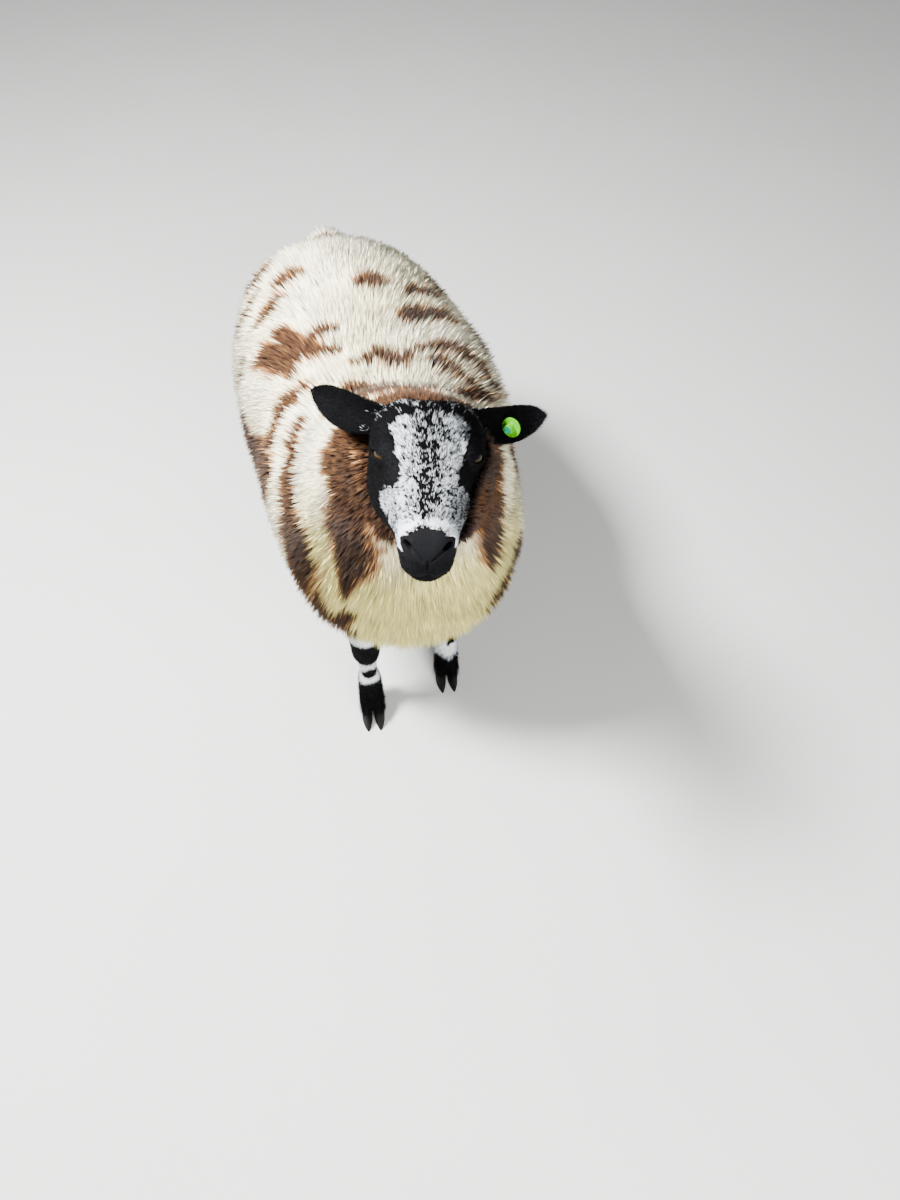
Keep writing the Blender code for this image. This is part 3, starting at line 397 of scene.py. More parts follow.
# Distance forward, height of the middle, then the radii at crown, brow, side, cheek and throat
HEAD_STATIONS = (
    (-0.012, -0.006, 0.016, 0.024, 0.03, 0.034, 0.032), (0.006, -0.006, 0.031, 0.042, 0.048, 0.056, 0.052),
    (0.038, -0.006, 0.052, 0.063, 0.059, 0.071, 0.07), (0.072, -0.008, 0.058, 0.07, 0.06, 0.076, 0.075),
    (0.102, -0.011, 0.051, 0.064, 0.052, 0.068, 0.069), (0.134, -0.014, 0.042, 0.051, 0.042, 0.053, 0.05),
    (0.164, -0.018, 0.036, 0.042, 0.034, 0.041, 0.034), (0.192, -0.021, 0.032, 0.036, 0.0295, 0.034, 0.027),
    (0.212, -0.024, 0.026, 0.031, 0.0275, 0.03, 0.025), (0.224, -0.027, 0.016, 0.021, 0.02, 0.021, 0.018),
)
NOSE_TIP = (0.2285, -0.029)
NOSE_STEPS = (0.0, 0.0018)
NOSE_SHARES = (0.60, 0.30)
# Distance forward, height of the middle, half width, half depth
JAW_STATIONS = (
    (0.064, -0.044, 0.034, 0.038), (0.115, -0.046, 0.029, 0.031), (0.158, -0.049, 0.0225, 0.0215),
    (0.19, -0.0515, 0.0205, 0.0165), (0.208, -0.0525, 0.0185, 0.014), (0.218, -0.0525, 0.011, 0.0085),
)
JAW_SQUARENESS = 2.2
# Places and directions of paired things are those of the left one
EYE_AT = (0.0425, -0.1050, 0.0180)
EYE_RADIUS = 0.0132
EYE_LOOK = (0.66, -0.72, 0.22)
EYE_CLEARANCE = 0.0004
SOCKET_SWELL = (0.0200, 0.0240, 0.0200)
SOCKET_IN = 0.006
LID_HALF_WIDTH = 0.0126
LID_HALF_HEIGHT = 0.0056
LID_ROLL = 0.0024
LID_CORNER_POWER = 1.25
LOWER_LID_SHARE = 0.85
LID_ROLL_SHARES = (1.25, 0.85)
LID_STANDOFF = 0.0014
LID_BACK = 0.0060
LID_OPENING_DEPTH = 0.016
LIP_AT = (0.0085, -0.2080, -0.0400)
LIP_RADII = (0.0180, 0.0208, 0.0172)
# Paths of round cuts: middle, radius
NOSTRIL_PATH = (
    (0.003, -0.2295, -0.0296, 0.001), (0.0088, -0.229, -0.0243, 0.0017), (0.0148, -0.2262, -0.0195, 0.0027),
    (0.0196, -0.222, -0.0158, 0.0034), (0.0232, -0.218, -0.015, 0.0026),
)
NOSTRIL_AT = (0.0178, -0.2190, -0.0170)
NOSTRIL_RADII = (0.0056, 0.0100, 0.0030)
NOSTRIL_SLOPE = math.radians(37)
LIP_GROOVE = (
    (0.0, -0.2305, -0.0285, 0.0014), (0.0, -0.2296, -0.0355, 0.0017), (0.0, -0.2284, -0.0425, 0.0018),
    (0.0, -0.2264, -0.0505, 0.002), (0.0, -0.222, -0.0575, 0.0018),
)
MOUTH_PATH = (
    (0.0325, -0.16, -0.044, 0.0012), (0.029, -0.185, -0.0485, 0.0013), (0.0235, -0.206, -0.054, 0.0013),
    (0.013, -0.219, -0.0568, 0.0013), (0.0, -0.2225, -0.0572, 0.0013),
)
HEAD_GRAIN = 0.0017
HEAD_SOFTENING = 3
CUT_SOFTENING = 0.4
TUBE_UP = (0.05, 0.1, 1.0)

head_frame = (
    Matrix.Translation(Vector(HEAD_AT) + Vector(PLACE))
    @ Matrix.Rotation(HEAD_YAW, 4, "Z")
    @ Matrix.Rotation(HEAD_PITCH, 4, "X")
    @ Matrix.Rotation(HEAD_ROLL, 4, "Y")
    @ Matrix.Scale(HEAD_SIZE, 4)
)


def moved(points, matrix):
    """Points of shape (..., 3) carried by a 4 x 4 matrix."""
    matrix = np.array(matrix)
    return points @ matrix[:3, :3].T + matrix[:3, 3]


def five_radii(rows, sides):
    """Radii round each section through its crown, brow, side, cheek and throat radii and their mirror images,
    on a closed Catmull-Rom spline."""
    keys = np.concatenate([rows, rows[:, 3:0:-1]], axis=1)
    count = keys.shape[1]
    place = np.arange(sides) * count / sides
    start = place.astype(int)
    return catmull_rom(*(keys[:, (start + k) % count] for k in (-1, 0, 1, 2)), place - start)


def skull_rings(rings, sides):
    """Upright sections from the back of the skull to the nose: (r sin a, -f, centre + r cos a). The last is drawn
    in at the nose's tip by shares of its radii."""
    rows = along_spline(HEAD_STATIONS, rings)
    front = np.repeat(rows[-1:], 2, axis=0)
    front[:, :2] = NOSE_TIP
    front[:, 0] += NOSE_STEPS
    front[:, 2:] *= np.array(NOSE_SHARES)[:, None]
    rows = np.vstack([rows, front])
    radii = five_radii(rows[:, 2:], sides)
    y = -np.repeat(rows[:, 0:1], sides, axis=1)
    return np.stack([radii * np.sin(turns(sides)), y, rows[:, 1:2] + radii * np.cos(turns(sides))], axis=-1)


def jaw_rings(rings, sides):
    rows = along_spline(JAW_STATIONS, rings)
    across, up = superellipse(sides, JAW_SQUARENESS)
    y = -np.repeat(rows[:, 0:1], sides, axis=1)
    return np.stack([rows[:, 2:3] * across, y, rows[:, 1:2] + rows[:, 3:4] * up], axis=-1)


def on_side(side, place):
    """A place or direction given for the left, on the side 1 or -1."""
    return side * place[0], place[1], place[2]


def frame_at(place, x, z):
    """The frame at a place with the given x and z axes."""
    return Matrix.Translation(place) @ Matrix((x, z.cross(x), z)).transposed().to_4x4()


def looking_frame(side):
    """The eye's frame in the head's: its z is the way the eye looks, its x lies along the lids."""
    look = Vector(on_side(side, EYE_LOOK)).normalized()
    return frame_at(on_side(side, EYE_AT), Vector((0, 0, 1)).cross(look).normalized(), look)


def lid_solid(side, around=56, section=12):
    """The rim of the lids: a small round section carried round an almond, whose ends are drawn to points by
    raising the sine to a power, and which bends back over the eyeball."""
    x = LID_HALF_WIDTH * np.cos(turns(around))
    rise = np.sin(turns(around))
    y = LID_HALF_HEIGHT * np.sign(rise) * np.abs(rise) ** LID_CORNER_POWER * np.where(rise > 0, 1.0, LOWER_LID_SHARE)
    z = np.maximum(np.sqrt(np.maximum((EYE_RADIUS + LID_STANDOFF) ** 2 - x**2 - y**2, 0.0)), LID_BACK)
    path = np.stack([x, y, z], axis=-1)
    out = unit(path * (1.0, 1.0, 0.3))
    ahead = unit(np.roll(path, -1, axis=0) - np.roll(path, 1, axis=0))
    up = np.cross(ahead, out)
    roll = LID_ROLL * np.where(y > 0, *LID_ROLL_SHARES)
    bead = turns(section)[:, None]
    ring = path[:, None] + roll[:, None, None] * (np.cos(bead) * out[:, None] + np.sin(bead) * up[:, None])
    here = np.arange(around * section).reshape(around, section)
    next_ring, beside = np.roll(here, -1, axis=0), np.roll(here, -1, axis=1)
    both = np.roll(next_ring, -1, axis=1)
    faces = [np.stack(corners, -1).reshape(-1, 3) for corners in ((here, next_ring, both), (here, both, beside))]
    points = moved(ring.reshape(-1, 3), looking_frame(side))
    return points, facing_out(points, np.concatenate(faces))


def tube(path, sides=10, steps=6):
    """A round tube along a spline through (x, y, z, radius) rows."""
    rows = along_spline(path, steps * len(path))
    return closed(swept_rings(rows[:, :3], rows[:, 3], rows[:, 3], TUBE_UP, sides))


def mirrored(path):
    return tuple((-x, *rest) for x, *rest in path)


def ball(radii, rings, sides, frame):
    return closed(moved(ball_rings(radii, rings, sides), frame))


def in_head(solids):
    return [(moved(points, head_frame), faces) for points, faces in solids]


head_solids = [closed(skull_rings(60, 64)), closed(jaw_rings(30, 32))]
head_cuts = []
for side in (1, -1):
    socket = (side * (EYE_AT[0] - SOCKET_IN), EYE_AT[1], EYE_AT[2])
    head_solids.append(ball(SOCKET_SWELL, 20, 32, Matrix.Translation(socket)))
    head_solids.append(lid_solid(side))
    head_solids.append(ball(LIP_RADII, 20, 32, Matrix.Translation(on_side(side, LIP_AT))))
    hole = Matrix.Translation(on_side(side, NOSTRIL_AT)) @ Matrix.Rotation(-side * NOSTRIL_SLOPE, 4, "Y")
    head_cuts.append(ball(NOSTRIL_RADII, 16, 24, hole))
    look = looking_frame(side)
    head_cuts.append(ball((EYE_RADIUS + EYE_CLEARANCE,) * 3, 24, 40, look))
    opening = (LID_HALF_WIDTH - 0.6 * LID_ROLL, LID_HALF_HEIGHT - 0.55 * LID_ROLL, LID_OPENING_DEPTH)
    head_cuts.append(ball(opening, 20, 40, look @ Matrix.Translation((0, 0, EYE_RADIUS))))
    head_cuts.append(tube(NOSTRIL_PATH if side > 0 else mirrored(NOSTRIL_PATH)))
head_cuts.append(tube(MOUTH_PATH + mirrored(MOUTH_PATH[-2::-1])))
head_cuts.append(tube(LIP_GROOVE))

head = grown_together("head", in_head(head_solids), HEAD_GRAIN, HEAD_SOFTENING)
combine(head, in_head(head_cuts), "DIFFERENCE")
soften(head, 1, CUT_SOFTENING)
apply_modifiers(head)


# The ears: thin curled leaves, carried level to the sides with the cup towards the viewer. Each has its own
# sweep and lift.
EAR_LENGTH = 0.113
EAR_HALF_WIDTH = 0.0205
EAR_THICKNESS = 0.0026
EAR_ROOT = (0.050, -0.028, 0.024)
EAR_SINK = 0.012
EAR_SWEEP = {1: math.radians(31), -1: math.radians(39)}
EAR_LIFT = {1: math.radians(-8), -1: math.radians(-1)}
EAR_OPENING_TILT = math.radians(30)
EAR_CURL_ROOT = math.radians(105)
EAR_CURL_TIP = math.radians(38)
EAR_DROOP = 0.008
EAR_BELLY = 0.0085
EAR_LEAST_WIDTH = 0.0030


def ear_frame(side):
    """The ear's frame in the head's: x to the tip, z out of the cup's mouth."""
    sweep, lift = EAR_SWEEP[side], EAR_LIFT[side]
    tip = Vector((side * math.cos(sweep) * math.cos(lift), math.sin(sweep) * math.cos(lift), math.sin(lift)))
    mouth = Vector((0, -math.cos(EAR_OPENING_TILT), math.sin(EAR_OPENING_TILT)))
    mouth = (mouth - tip * mouth.dot(tip)).normalized()
    return frame_at(on_side(side, EAR_ROOT), tip, mouth)


def ear_leaf(share, across, side, lift):
    """The leaf at share (0 root, 1 tip) and across (-1 to 1): an arc of radius width / sin(curl) whose curl falls
    from the root to the tip, bowed by a belly, drooping with the square of the share, raised by lift. The width
    grows with a sine from the root to the middle and falls as sqrt(1 - u^3.2) beyond it to a round tip."""
    beyond = np.clip(2 * share - 1, 0, 1)
    width = EAR_HALF_WIDTH * (0.52 + 0.48 * np.sin(math.pi * np.minimum(share, 0.5))) * np.sqrt(1 - beyond**3.2)
    width = np.maximum(width, EAR_LEAST_WIDTH)
    curl = EAR_CURL_ROOT + (EAR_CURL_TIP - EAR_CURL_ROOT) * np.minimum(1.0, share * 1.35)
    radius = width / np.sin(np.minimum(curl, math.pi / 2))
    angle = across * curl
    x = EAR_LENGTH * share - EAR_SINK * (1 - share) + 0 * angle
    y = (radius - lift) * np.sin(angle) - side * EAR_BELLY * np.sin(math.pi * share**0.8)
    z = -(radius - lift) * np.cos(angle) + radius * np.cos(curl) * 0.4 - EAR_DROOP * share**2
    return np.stack([x, y, z], axis=-1)


def ear_solid(side, rings=56, across=26):
    """The leaf's inner and outer face joined round the rim, thinner towards it."""
    share = np.linspace(0, 1, rings)[:, None]
    edge = np.linspace(-1, 1, across)[None]
    half = 0.5 * EAR_THICKNESS * (1 - 0.75 * edge**4)
    inner = ear_leaf(share, edge, side, half)
    outer = ear_leaf(share, edge[:, ::-1], side, -half[:, ::-1])
    return closed(moved(np.concatenate([inner, outer], axis=1), head_frame @ ear_frame(side)))


ears = {side: place_object("leaf", make_mesh("leaf", *ear_solid(side))) for side in (1, -1)}


# The legs: cannons, knees and hocks down to the pasterns, each with two toes and two small dewclaws.
# The tables give height, front, back and half width.
PASTERN_STATIONS = (
    (0.086, -0.0185, 0.0225, 0.0185), (0.07, -0.025, 0.019, 0.0195),
    (0.052, -0.0345, 0.008, 0.019), (0.04, -0.04, 0.001, 0.019),
)
FORE_STATIONS = (
    (0.36, -0.05, 0.06, 0.038), (0.31, -0.044, 0.052, 0.034), (0.262, -0.033, 0.037, 0.0285),
    (0.222, -0.027, 0.027, 0.0245), (0.195, -0.0265, 0.0225, 0.0232), (0.172, -0.0245, 0.0205, 0.0222),
    (0.15, -0.0165, 0.0165, 0.016), (0.125, -0.014, 0.016, 0.014), (0.104, -0.0145, 0.018, 0.0148),
    *PASTERN_STATIONS,
)
HIND_STATIONS = (
    (0.37, -0.14, 0.012, 0.046), (0.33, -0.118, 0.018, 0.041), (0.29, -0.084, 0.021, 0.034),
    (0.252, -0.046, 0.027, 0.0255), (0.23, -0.031, 0.031, 0.022), (0.206, -0.026, 0.026, 0.0218),
    (0.18, -0.02, 0.0185, 0.0185), (0.15, -0.015, 0.016, 0.0145), (0.12, -0.014, 0.016, 0.0142),
    (0.104, -0.015, 0.018, 0.015),
    *PASTERN_STATIONS,
)
# Across, along, how far the leg's top stands out from its foot, sections
FEET = {
    "fore_right": (-0.0725, -0.225, -0.010, FORE_STATIONS),
    "fore_left": (0.0725, -0.160, 0.010, FORE_STATIONS),
    "hind_right": (-0.1480, 0.312, -0.006, HIND_STATIONS),
    "hind_left": (0.0230, 0.342, 0.016, HIND_STATIONS),
}
CLAW_OFFSET = 0.0112
CLAW_HALF_WIDTH = 0.0094
CLAW_HEEL = -0.006
CLAW_TOE = -0.066
CORONET_TOE = -0.050
CORONET_WIDTH = 0.94
CORONET_HEIGHT_HEEL = 0.017
CORONET_HEIGHT_TOE = 0.029
DIGIT_TOP = (0.010, 0.066)
DIGIT_TOP_RADIUS = 0.0095
DEWCLAW_AT = (0.0165, 0.066)
DEWCLAW_RADII = (0.0055, 0.0048, 0.0085)
DEWCLAW_WAY = (0, 0.85, -0.55)
DIGIT_TOGETHER = 0.7
LEG_SQUARENESS = 2.1
LEG_GRAIN = 0.0036
LEG_SOFTENING = 3


def leg_rings(foot, rings=70, sides=36):
    """Level superellipses from inside the body to the pastern."""
    foot_x, foot_y, splay, stations = FEET[foot]
    rows = along_spline(stations, rings)
    across, ahead = superellipse(sides, LEG_SQUARENESS)
    middle = 0.5 * (rows[:, 1] + rows[:, 2])
    half = 0.5 * (rows[:, 2] - rows[:, 1])
    centre_x = foot_x + splay * (rows[:, 0] - rows[-1, 0]) / (rows[0, 0] - rows[-1, 0])
    x = centre_x[:, None] + rows[:, 3:4] * across
    y = foot_y + middle[:, None] + half[:, None] * ahead
    return np.stack([x, y, np.repeat(rows[:, 0:1], sides, axis=1)], axis=-1) + PLACE


def claw_outline(heel, toe, half_width, sides):
    """A claw from above: an oval whose width falls with the square of the way to the toe."""
    middle, half = 0.5 * (heel + toe), 0.5 * (heel - toe)
    y = middle + half * np.cos(turns(sides))
    taper = 1 - 0.45 * ((middle - y) / half).clip(0) ** 2
    return half_width * np.sin(turns(sides)) * taper, y


def coronet_ring(foot, side, sides):
    """The sloping edge where the horn meets the hair."""
    foot_x, foot_y = FEET[foot][:2]
    x, y = claw_outline(CLAW_HEEL, CORONET_TOE, CLAW_HALF_WIDTH * CORONET_WIDTH, sides)
    share = (y - CLAW_HEEL) / (CORONET_TOE - CLAW_HEEL)
    z = CORONET_HEIGHT_HEEL + share * (CORONET_HEIGHT_TOE - CORONET_HEIGHT_HEEL)
    return np.stack([foot_x + side * CLAW_OFFSET + x, foot_y + y, z], axis=-1) + PLACE


def toe_rings(foot, side, sides=28):
    """The toe's flesh: the coronet drawn up into the pastern."""
    foot_x, foot_y = FEET[foot][:2]
    x = foot_x + side * DIGIT_TOGETHER * CLAW_OFFSET + DIGIT_TOP_RADIUS * np.sin(turns(sides))
    y = foot_y - DIGIT_TOP[0] + DIGIT_TOP_RADIUS * np.cos(turns(sides))
    top = np.stack([x, y, np.full(sides, DIGIT_TOP[1])], axis=-1) + PLACE
    share = np.linspace(1, 0, 10)[:, None, None]
    return top * share + coronet_ring(foot, side, sides) * (1 - share)


def dewclaw(foot, side):
    """A small rounded peg behind the fetlock."""
    foot_x, foot_y = FEET[foot][:2]
    place = Vector((foot_x + side * CLAW_OFFSET, foot_y + DEWCLAW_AT[0], DEWCLAW_AT[1])) + Vector(PLACE)
    turn = Vector(DEWCLAW_WAY).to_track_quat("Z", "X").to_matrix().to_4x4()
    return ball(DEWCLAW_RADII, 12, 16, Matrix.Translation(place) @ turn)


legs = {}
for foot in FEET:
    solids = [closed(leg_rings(foot))]
    for side in (1, -1):
        solids += [closed(toe_rings(foot, side)), dewclaw(foot, side)]
    legs[foot] = grown_together(f"leg_{foot}", solids, LEG_GRAIN, LEG_SOFTENING)


def surface_of(obj):
    """The points, outward normals and triangles of a finished mesh."""
    mesh = obj.data
    mesh.calc_loop_triangles()
    found = []
    for rows, key in ((mesh.vertices, "co"), (mesh.vertices, "normal"), (mesh.loop_triangles, "vertices")):
        numbers = np.empty(len(rows) * 3, np.int32 if key == "vertices" else np.float32)
        rows.foreach_get(key, numbers)
        found.append(numbers.reshape(-1, 3))
    return found[0].astype(float), found[1].astype(float), found[2]


body_surface, head_surface = surface_of(body), surface_of(head)
leg_surfaces = {foot: surface_of(leg) for foot, leg in legs.items()}
ear_surfaces = {side: surface_of(ear) for side, ear in ears.items()}


# The spots: reddish brown wool in the cream, as rows of places (x, y, z, radius) in millimetres along each patch,
# and the white hairs of the face and legs in the black. Skin, wool and hair all take their colour from these.
BROWN_PATCHES = {
    "nape": ((-27, -50, 575, 13), (-11, -57, 578, 17), (11, -68, 582, 20), (32, -78, 588, 20)),
    "mane": ((-25, -120, 605, 26), (5, -140, 630, 34), (40, -160, 655, 28)),
    "mane_left": ((50, -150, 648, 14), (85, -140, 620, 11), (115, -120, 590, 9)),
    "nape_left": ((115, -57, 559, 12), (152, -15, 529, 12)),
    "withers_1": ((-11, 11, 573, 11), (1, 16, 573, 14), (12, 22, 573, 10)),
    "withers_2": ((20, 29, 572, 13), (33, 8, 573, 18), (42, 4, 572, 16), (57, 20, 569, 10)),
    "neck_right": (
        (-82, -11, 557, 13), (-99, -16, 548, 16), (-112, -25, 538, 14), (-119, -45, 529, 13), (-129, -56, 517, 16),
    ),
    "shoulder_right": (
        (-176, 72, 465, 13), (-172, 37, 458, 17), (-154, -26, 476, 27), (-143, -74, 487, 33), (-140, -102, 482, 23),
    ),
    "band_right": (
        (-86, -72, 553, 10), (-91, -83, 550, 13), (-97, -100, 543, 14), (-99, -122, 539, 16), (-103, -140, 530, 17),
        (-108, -154, 519, 20), (-110, -170, 508, 21), (-108, -187, 499, 27), (-104, -204, 490, 33),
        (-101, -216, 475, 39), (-102, -221, 455, 36), (-108, -216, 421, 27),
    ),
    "cheek_right": (
        (-26, -219, 664, 20), (-30, -241, 659, 32), (-32, -254, 648, 36), (-33, -268, 633, 39), (-34, -276, 611, 41),
        (-36, -277, 578, 35), (-35, -279, 537, 26), (-42, -280, 505, 16), (-47, -275, 473, 9),
    ),
    "throat_right": ((-4, -296, 657, 16), (-3, -301, 632, 19), (2, -304, 607, 11)),
    "collar_right": (
        (-7, -247, 690, 22), (-1, -276, 688, 21), (0, -293, 668, 21), (2, -303, 643, 20), (6, -306, 621, 12),
    ),
    "collar_left": (
        (112, -243, 670, 17), (98, -281, 677, 19), (95, -295, 660, 19), (94, -300, 634, 16), (95, -299, 608, 8),
    ),
    "breast_right": ((-83, -245, 424, 13), (-82, -245, 400, 24), (-75, -248, 384, 33), (-66, -254, 381, 26)),
    "fleck_right": ((-48, -269, 422, 11), (-57, -262, 388, 11), (-47, -264, 373, 13)),
    "cheek_left": (
        (124, -230, 647, 20), (121, -255, 645, 27), (114, -277, 642, 28), (113, -283, 618, 28), (120, -274, 569, 26),
        (120, -275, 533, 18), (119, -280, 510, 9),
    ),
    "breast_left": (
        (170, -213, 461, 14), (168, -223, 436, 23), (157, -237, 426, 24), (147, -248, 410, 23), (138, -255, 397, 16),
        (127, -263, 397, 10),
    ),
    "hip_right": ((-160, 307, 522, 16), (-146, 305, 539, 17), (-135, 317, 546, 17), (-124, 315, 553, 11)),
    "loin_right": ((-109, 245, 564, 13), (-98, 252, 569, 14), (-83, 250, 573, 11)),
    "rib_right_1": ((-178, 239, 501, 10), (-165, 243, 521, 13), (-156, 250, 532, 13), (-146, 261, 541, 10)),
    "rib_right_2": ((-147, 189, 536, 11), (-135, 195, 546, 16), (-124, 202, 554, 18), (-115, 212, 559, 14)),
    "star": ((-135, 109, 534, 24), (-108, 74, 548, 27), (-82, 69, 558, 24), (-62, 53, 564, 14), (-38, 46, 568, 10)),
    "star_arm_1": ((-110, 132, 553, 14), (-99, 107, 555, 16), (-86, 76, 557, 18)),
    "star_arm_2": ((-77, 79, 560, 16), (-61, 99, 566, 13), (-44, 102, 569, 8)),
    "star_foot": ((-111, 67, 545, 18), (-100, 31, 549, 11)),
    "streak_right": ((-171, 148, 502, 10), (-177, 128, 485, 11)),
    "loin_left": ((8, 201, 578, 14), (18, 216, 578, 16), (28, 203, 577, 14)),
    "rib_left_1": ((66, 191, 569, 11), (83, 204, 563, 17), (98, 208, 555, 13)),
    "rib_left_2": ((105, 266, 543, 11), (117, 248, 537, 10)),
    "arch": ((55, 121, 568, 14), (69, 135, 566, 18), (88, 141, 560, 18), (105, 140, 553, 17), (119, 138, 545, 11)),
    "edge_left": ((142, 160, 526, 10), (158, 135, 510, 10), (160, 103, 511, 11)),
    "arc_left": (
        (71, 47, 565, 10), (87, 51, 561, 13), (108, 52, 553, 16), (127, 51, 543, 18), (143, 46, 532, 16),
        (156, 30, 521, 16), (166, 18, 511, 14),
    ),
    "shoulder_left": (
        (86, 19, 563, 10), (96, 5, 561, 13), (111, -1, 555, 13), (125, -7, 548, 13), (138, -13, 541, 11),
        (145, -19, 535, 10),
    ),
    "poll": (
        (-50, -225, 655, 36), (-10, -205, 685, 38), (40, -205, 700, 38), (85, -205, 690, 34), (125, -225, 660, 30),
    ),
    "flank_left_1": ((185, -101, 483, 29), (192, -61, 423, 40), (179, -12, 363, 31), (151, 19, 321, 18)),
    "flank_left_2": ((186, 57, 467, 19), (190, 87, 431, 27), (186, 124, 403, 20)),
    "flank_left_3": ((155, 168, 343, 29), (164, 214, 386, 31), (161, 246, 431, 18)),
    "flank_left_4": ((130, 306, 486, 18), (116, 346, 446, 27), (119, 334, 394, 22)),
    "flank_left_5": ((182, -195, 414, 22), (174, -165, 364, 31), (149, -114, 325, 20)),
    "flank_left_6": ((113, 95, 296, 24), (83, 146, 290, 18)),
    "flank_left_7": ((108, 274, 337, 15), (74, 326, 330, 22)),
    "flank_right_1": ((-155, -61, 423, 24), (-156, -26, 382, 38), (-152, 26, 345, 31), (-122, 50, 308, 18)),
    "flank_right_2": ((-181, 73, 449, 18), (-187, 110, 405, 27), (-184, 146, 373, 20)),
    "flank_right_3": ((-180, 208, 361, 29), (-192, 257, 406, 31), (-191, 285, 447, 17)),
    "flank_right_4": ((-173, 346, 395, 27), (-169, 366, 439, 20)),
    "flank_right_5": ((-116, -186, 372, 24), (-111, -132, 338, 29)),
    "flank_right_6": ((-115, 139, 299, 22), (-99, 188, 296, 15)),
    "rump_1": ((-7, 411, 470, 18), (9, 416, 476, 24), (33, 411, 460, 15)),
    "rump_2": ((-93, 416, 474, 27), (-85, 421, 439, 22)),
    "rump_3": ((15, 416, 400, 24), (10, 411, 370, 18)),
    "rump_4": ((-116, 401, 369, 22), (-97, 397, 345, 15)),
}
PATCH_UNITS_PER_METRE = 1000
PATCH_DEPTH = 0.016
# The blaze's outline on the face: distance forward from the back of the skull, and degrees round from the crown
BLAZE = (
    (0.072, -4), (0.083, -20), (0.089, -27), (0.096, -36), (0.112, -36), (0.128, -36), (0.146, -36), (0.16, -40),
    (0.162, -54), (0.134, -78), (0.124, -95), (0.126, -108), (0.145, -114), (0.176, -110), (0.208, -98), (0.22, -90),
    (0.2225, -65), (0.2208, -50), (0.2186, -36), (0.2168, -20), (0.2158, 0), (0.2168, 20), (0.2186, 36), (0.2208, 50),
    (0.2215, 65), (0.2175, 84), (0.206, 92), (0.176, 110), (0.145, 114), (0.13, 104), (0.138, 82), (0.16, 54),
    (0.159, 41), (0.137, 40), (0.119, 38), (0.101, 38), (0.09, 34), (0.083, 25), (0.076, 11),
)
BLAZE_ARC_RADIUS = 0.045
FAR_OFF = 9.0
LATTICE_SIZE = 4096


def lattice_index(cell):
    """A number below LATTICE_SIZE for each cube of a lattice."""
    return (cell[:, 0] * 73856093 ^ cell[:, 1] * 19349663 ^ cell[:, 2] * 83492791) % LATTICE_SIZE


def lattice_noise(points, size, seed):
    """Smooth noise from 0 to 1: random numbers at the corners of cubes of the given size, blended along each
    axis by 3 t^2 - 2 t^3."""
    table = np.random.default_rng(seed).random(LATTICE_SIZE)
    scaled = points / size
    cell = np.floor(scaled).astype(np.int64)
    t = scaled - cell
    t = t * t * (3 - 2 * t)
    total = np.zeros(len(points))
    for corner in np.ndindex(2, 2, 2):
        share = np.where(corner, t, 1 - t)
        total += share[:, 0] * share[:, 1] * share[:, 2] * table[lattice_index(cell + corner)]
    return total


def rising(values, start, width):
    """0 up to the start and 1 from a width beyond it, even between."""
    return np.clip((values - start) / width, 0, 1)


def falling(values, end, width):
    """1 up to a width before the end and 0 from the end on."""
    return np.clip((end - values) / width, 0, 1)


def brown_of(points, normals):
    """How brown the wool is at each place, 0 to 1: the distance along the skin to each run of a patch, over the
    radius there, with its edge broken up by noise, more widely on flanks and rump. Up to PATCH_DEPTH of height
    over or under the run doesn't count."""
    nearest = np.full(len(points), FAR_OFF)
    wavy = 0.9 * (lattice_noise(points, 0.030, 2) - 0.5)
    for name, rows in BROWN_PATCHES.items():
        swing = wavy * name.startswith(("flank", "rump"))
        run = np.array(rows) / PATCH_UNITS_PER_METRE
        for a, b in zip(run[:-1], run[1:]):
            way = b[:3] - a[:3]
            t = np.clip((points - a[:3]) @ way / (way @ way), 0, 1)
            gap = points - a[:3] - t[:, None] * way
            level = np.minimum(np.abs((gap * normals).sum(1)), PATCH_DEPTH)
            gap = np.sqrt((gap**2).sum(1) - level**2)
            nearest = np.minimum(nearest, gap / (a[3] + t * (b[3] - a[3])) + swing)
    ragged = 0.55 * (lattice_noise(points, 0.011, 3) - 0.5) + 0.5 * (lattice_noise(points, 0.004, 4) - 0.5)
    return rising(1.30 + ragged - nearest, 0, 0.70)


skull_table = along_spline(HEAD_STATIONS, 200)
from_head = head_frame.inverted()


def head_places(points):
    """Distance forward and degrees round from the crown in the head's frame, and the frame's own x, y, z."""
    local = moved(points, from_head)
    forward = -local[:, 1]
    centre = np.interp(forward, skull_table[:, 0], skull_table[:, 1])
    return forward, np.degrees(np.arctan2(local[:, 0], local[:, 2] - centre)), local


def inside_head(points):
    """Whether a place lies within the skull or jaw."""
    forward, degrees, local = head_places(points)
    table = five_radii(skull_table[:, 2:], 72)
    row = np.clip(np.searchsorted(skull_table[:, 0], forward), 0, len(skull_table) - 1)
    radius = table[row, (np.round(degrees / 5).astype(int)) % 72]
    skull = np.hypot(local[:, 0], local[:, 2] - skull_table[row, 1]) < radius
    skull &= (forward > -0.012) & (forward < 0.228)
    jaw_table = along_spline(JAW_STATIONS, 100)
    middle, width, depth = (np.interp(forward, jaw_table[:, 0], jaw_table[:, k]) for k in (1, 2, 3))
    jaw = (local[:, 0] / width) ** 2 + ((local[:, 2] - middle) / depth) ** 2 < 1
    return skull | (jaw & (forward > 0.064) & (forward < 0.218))


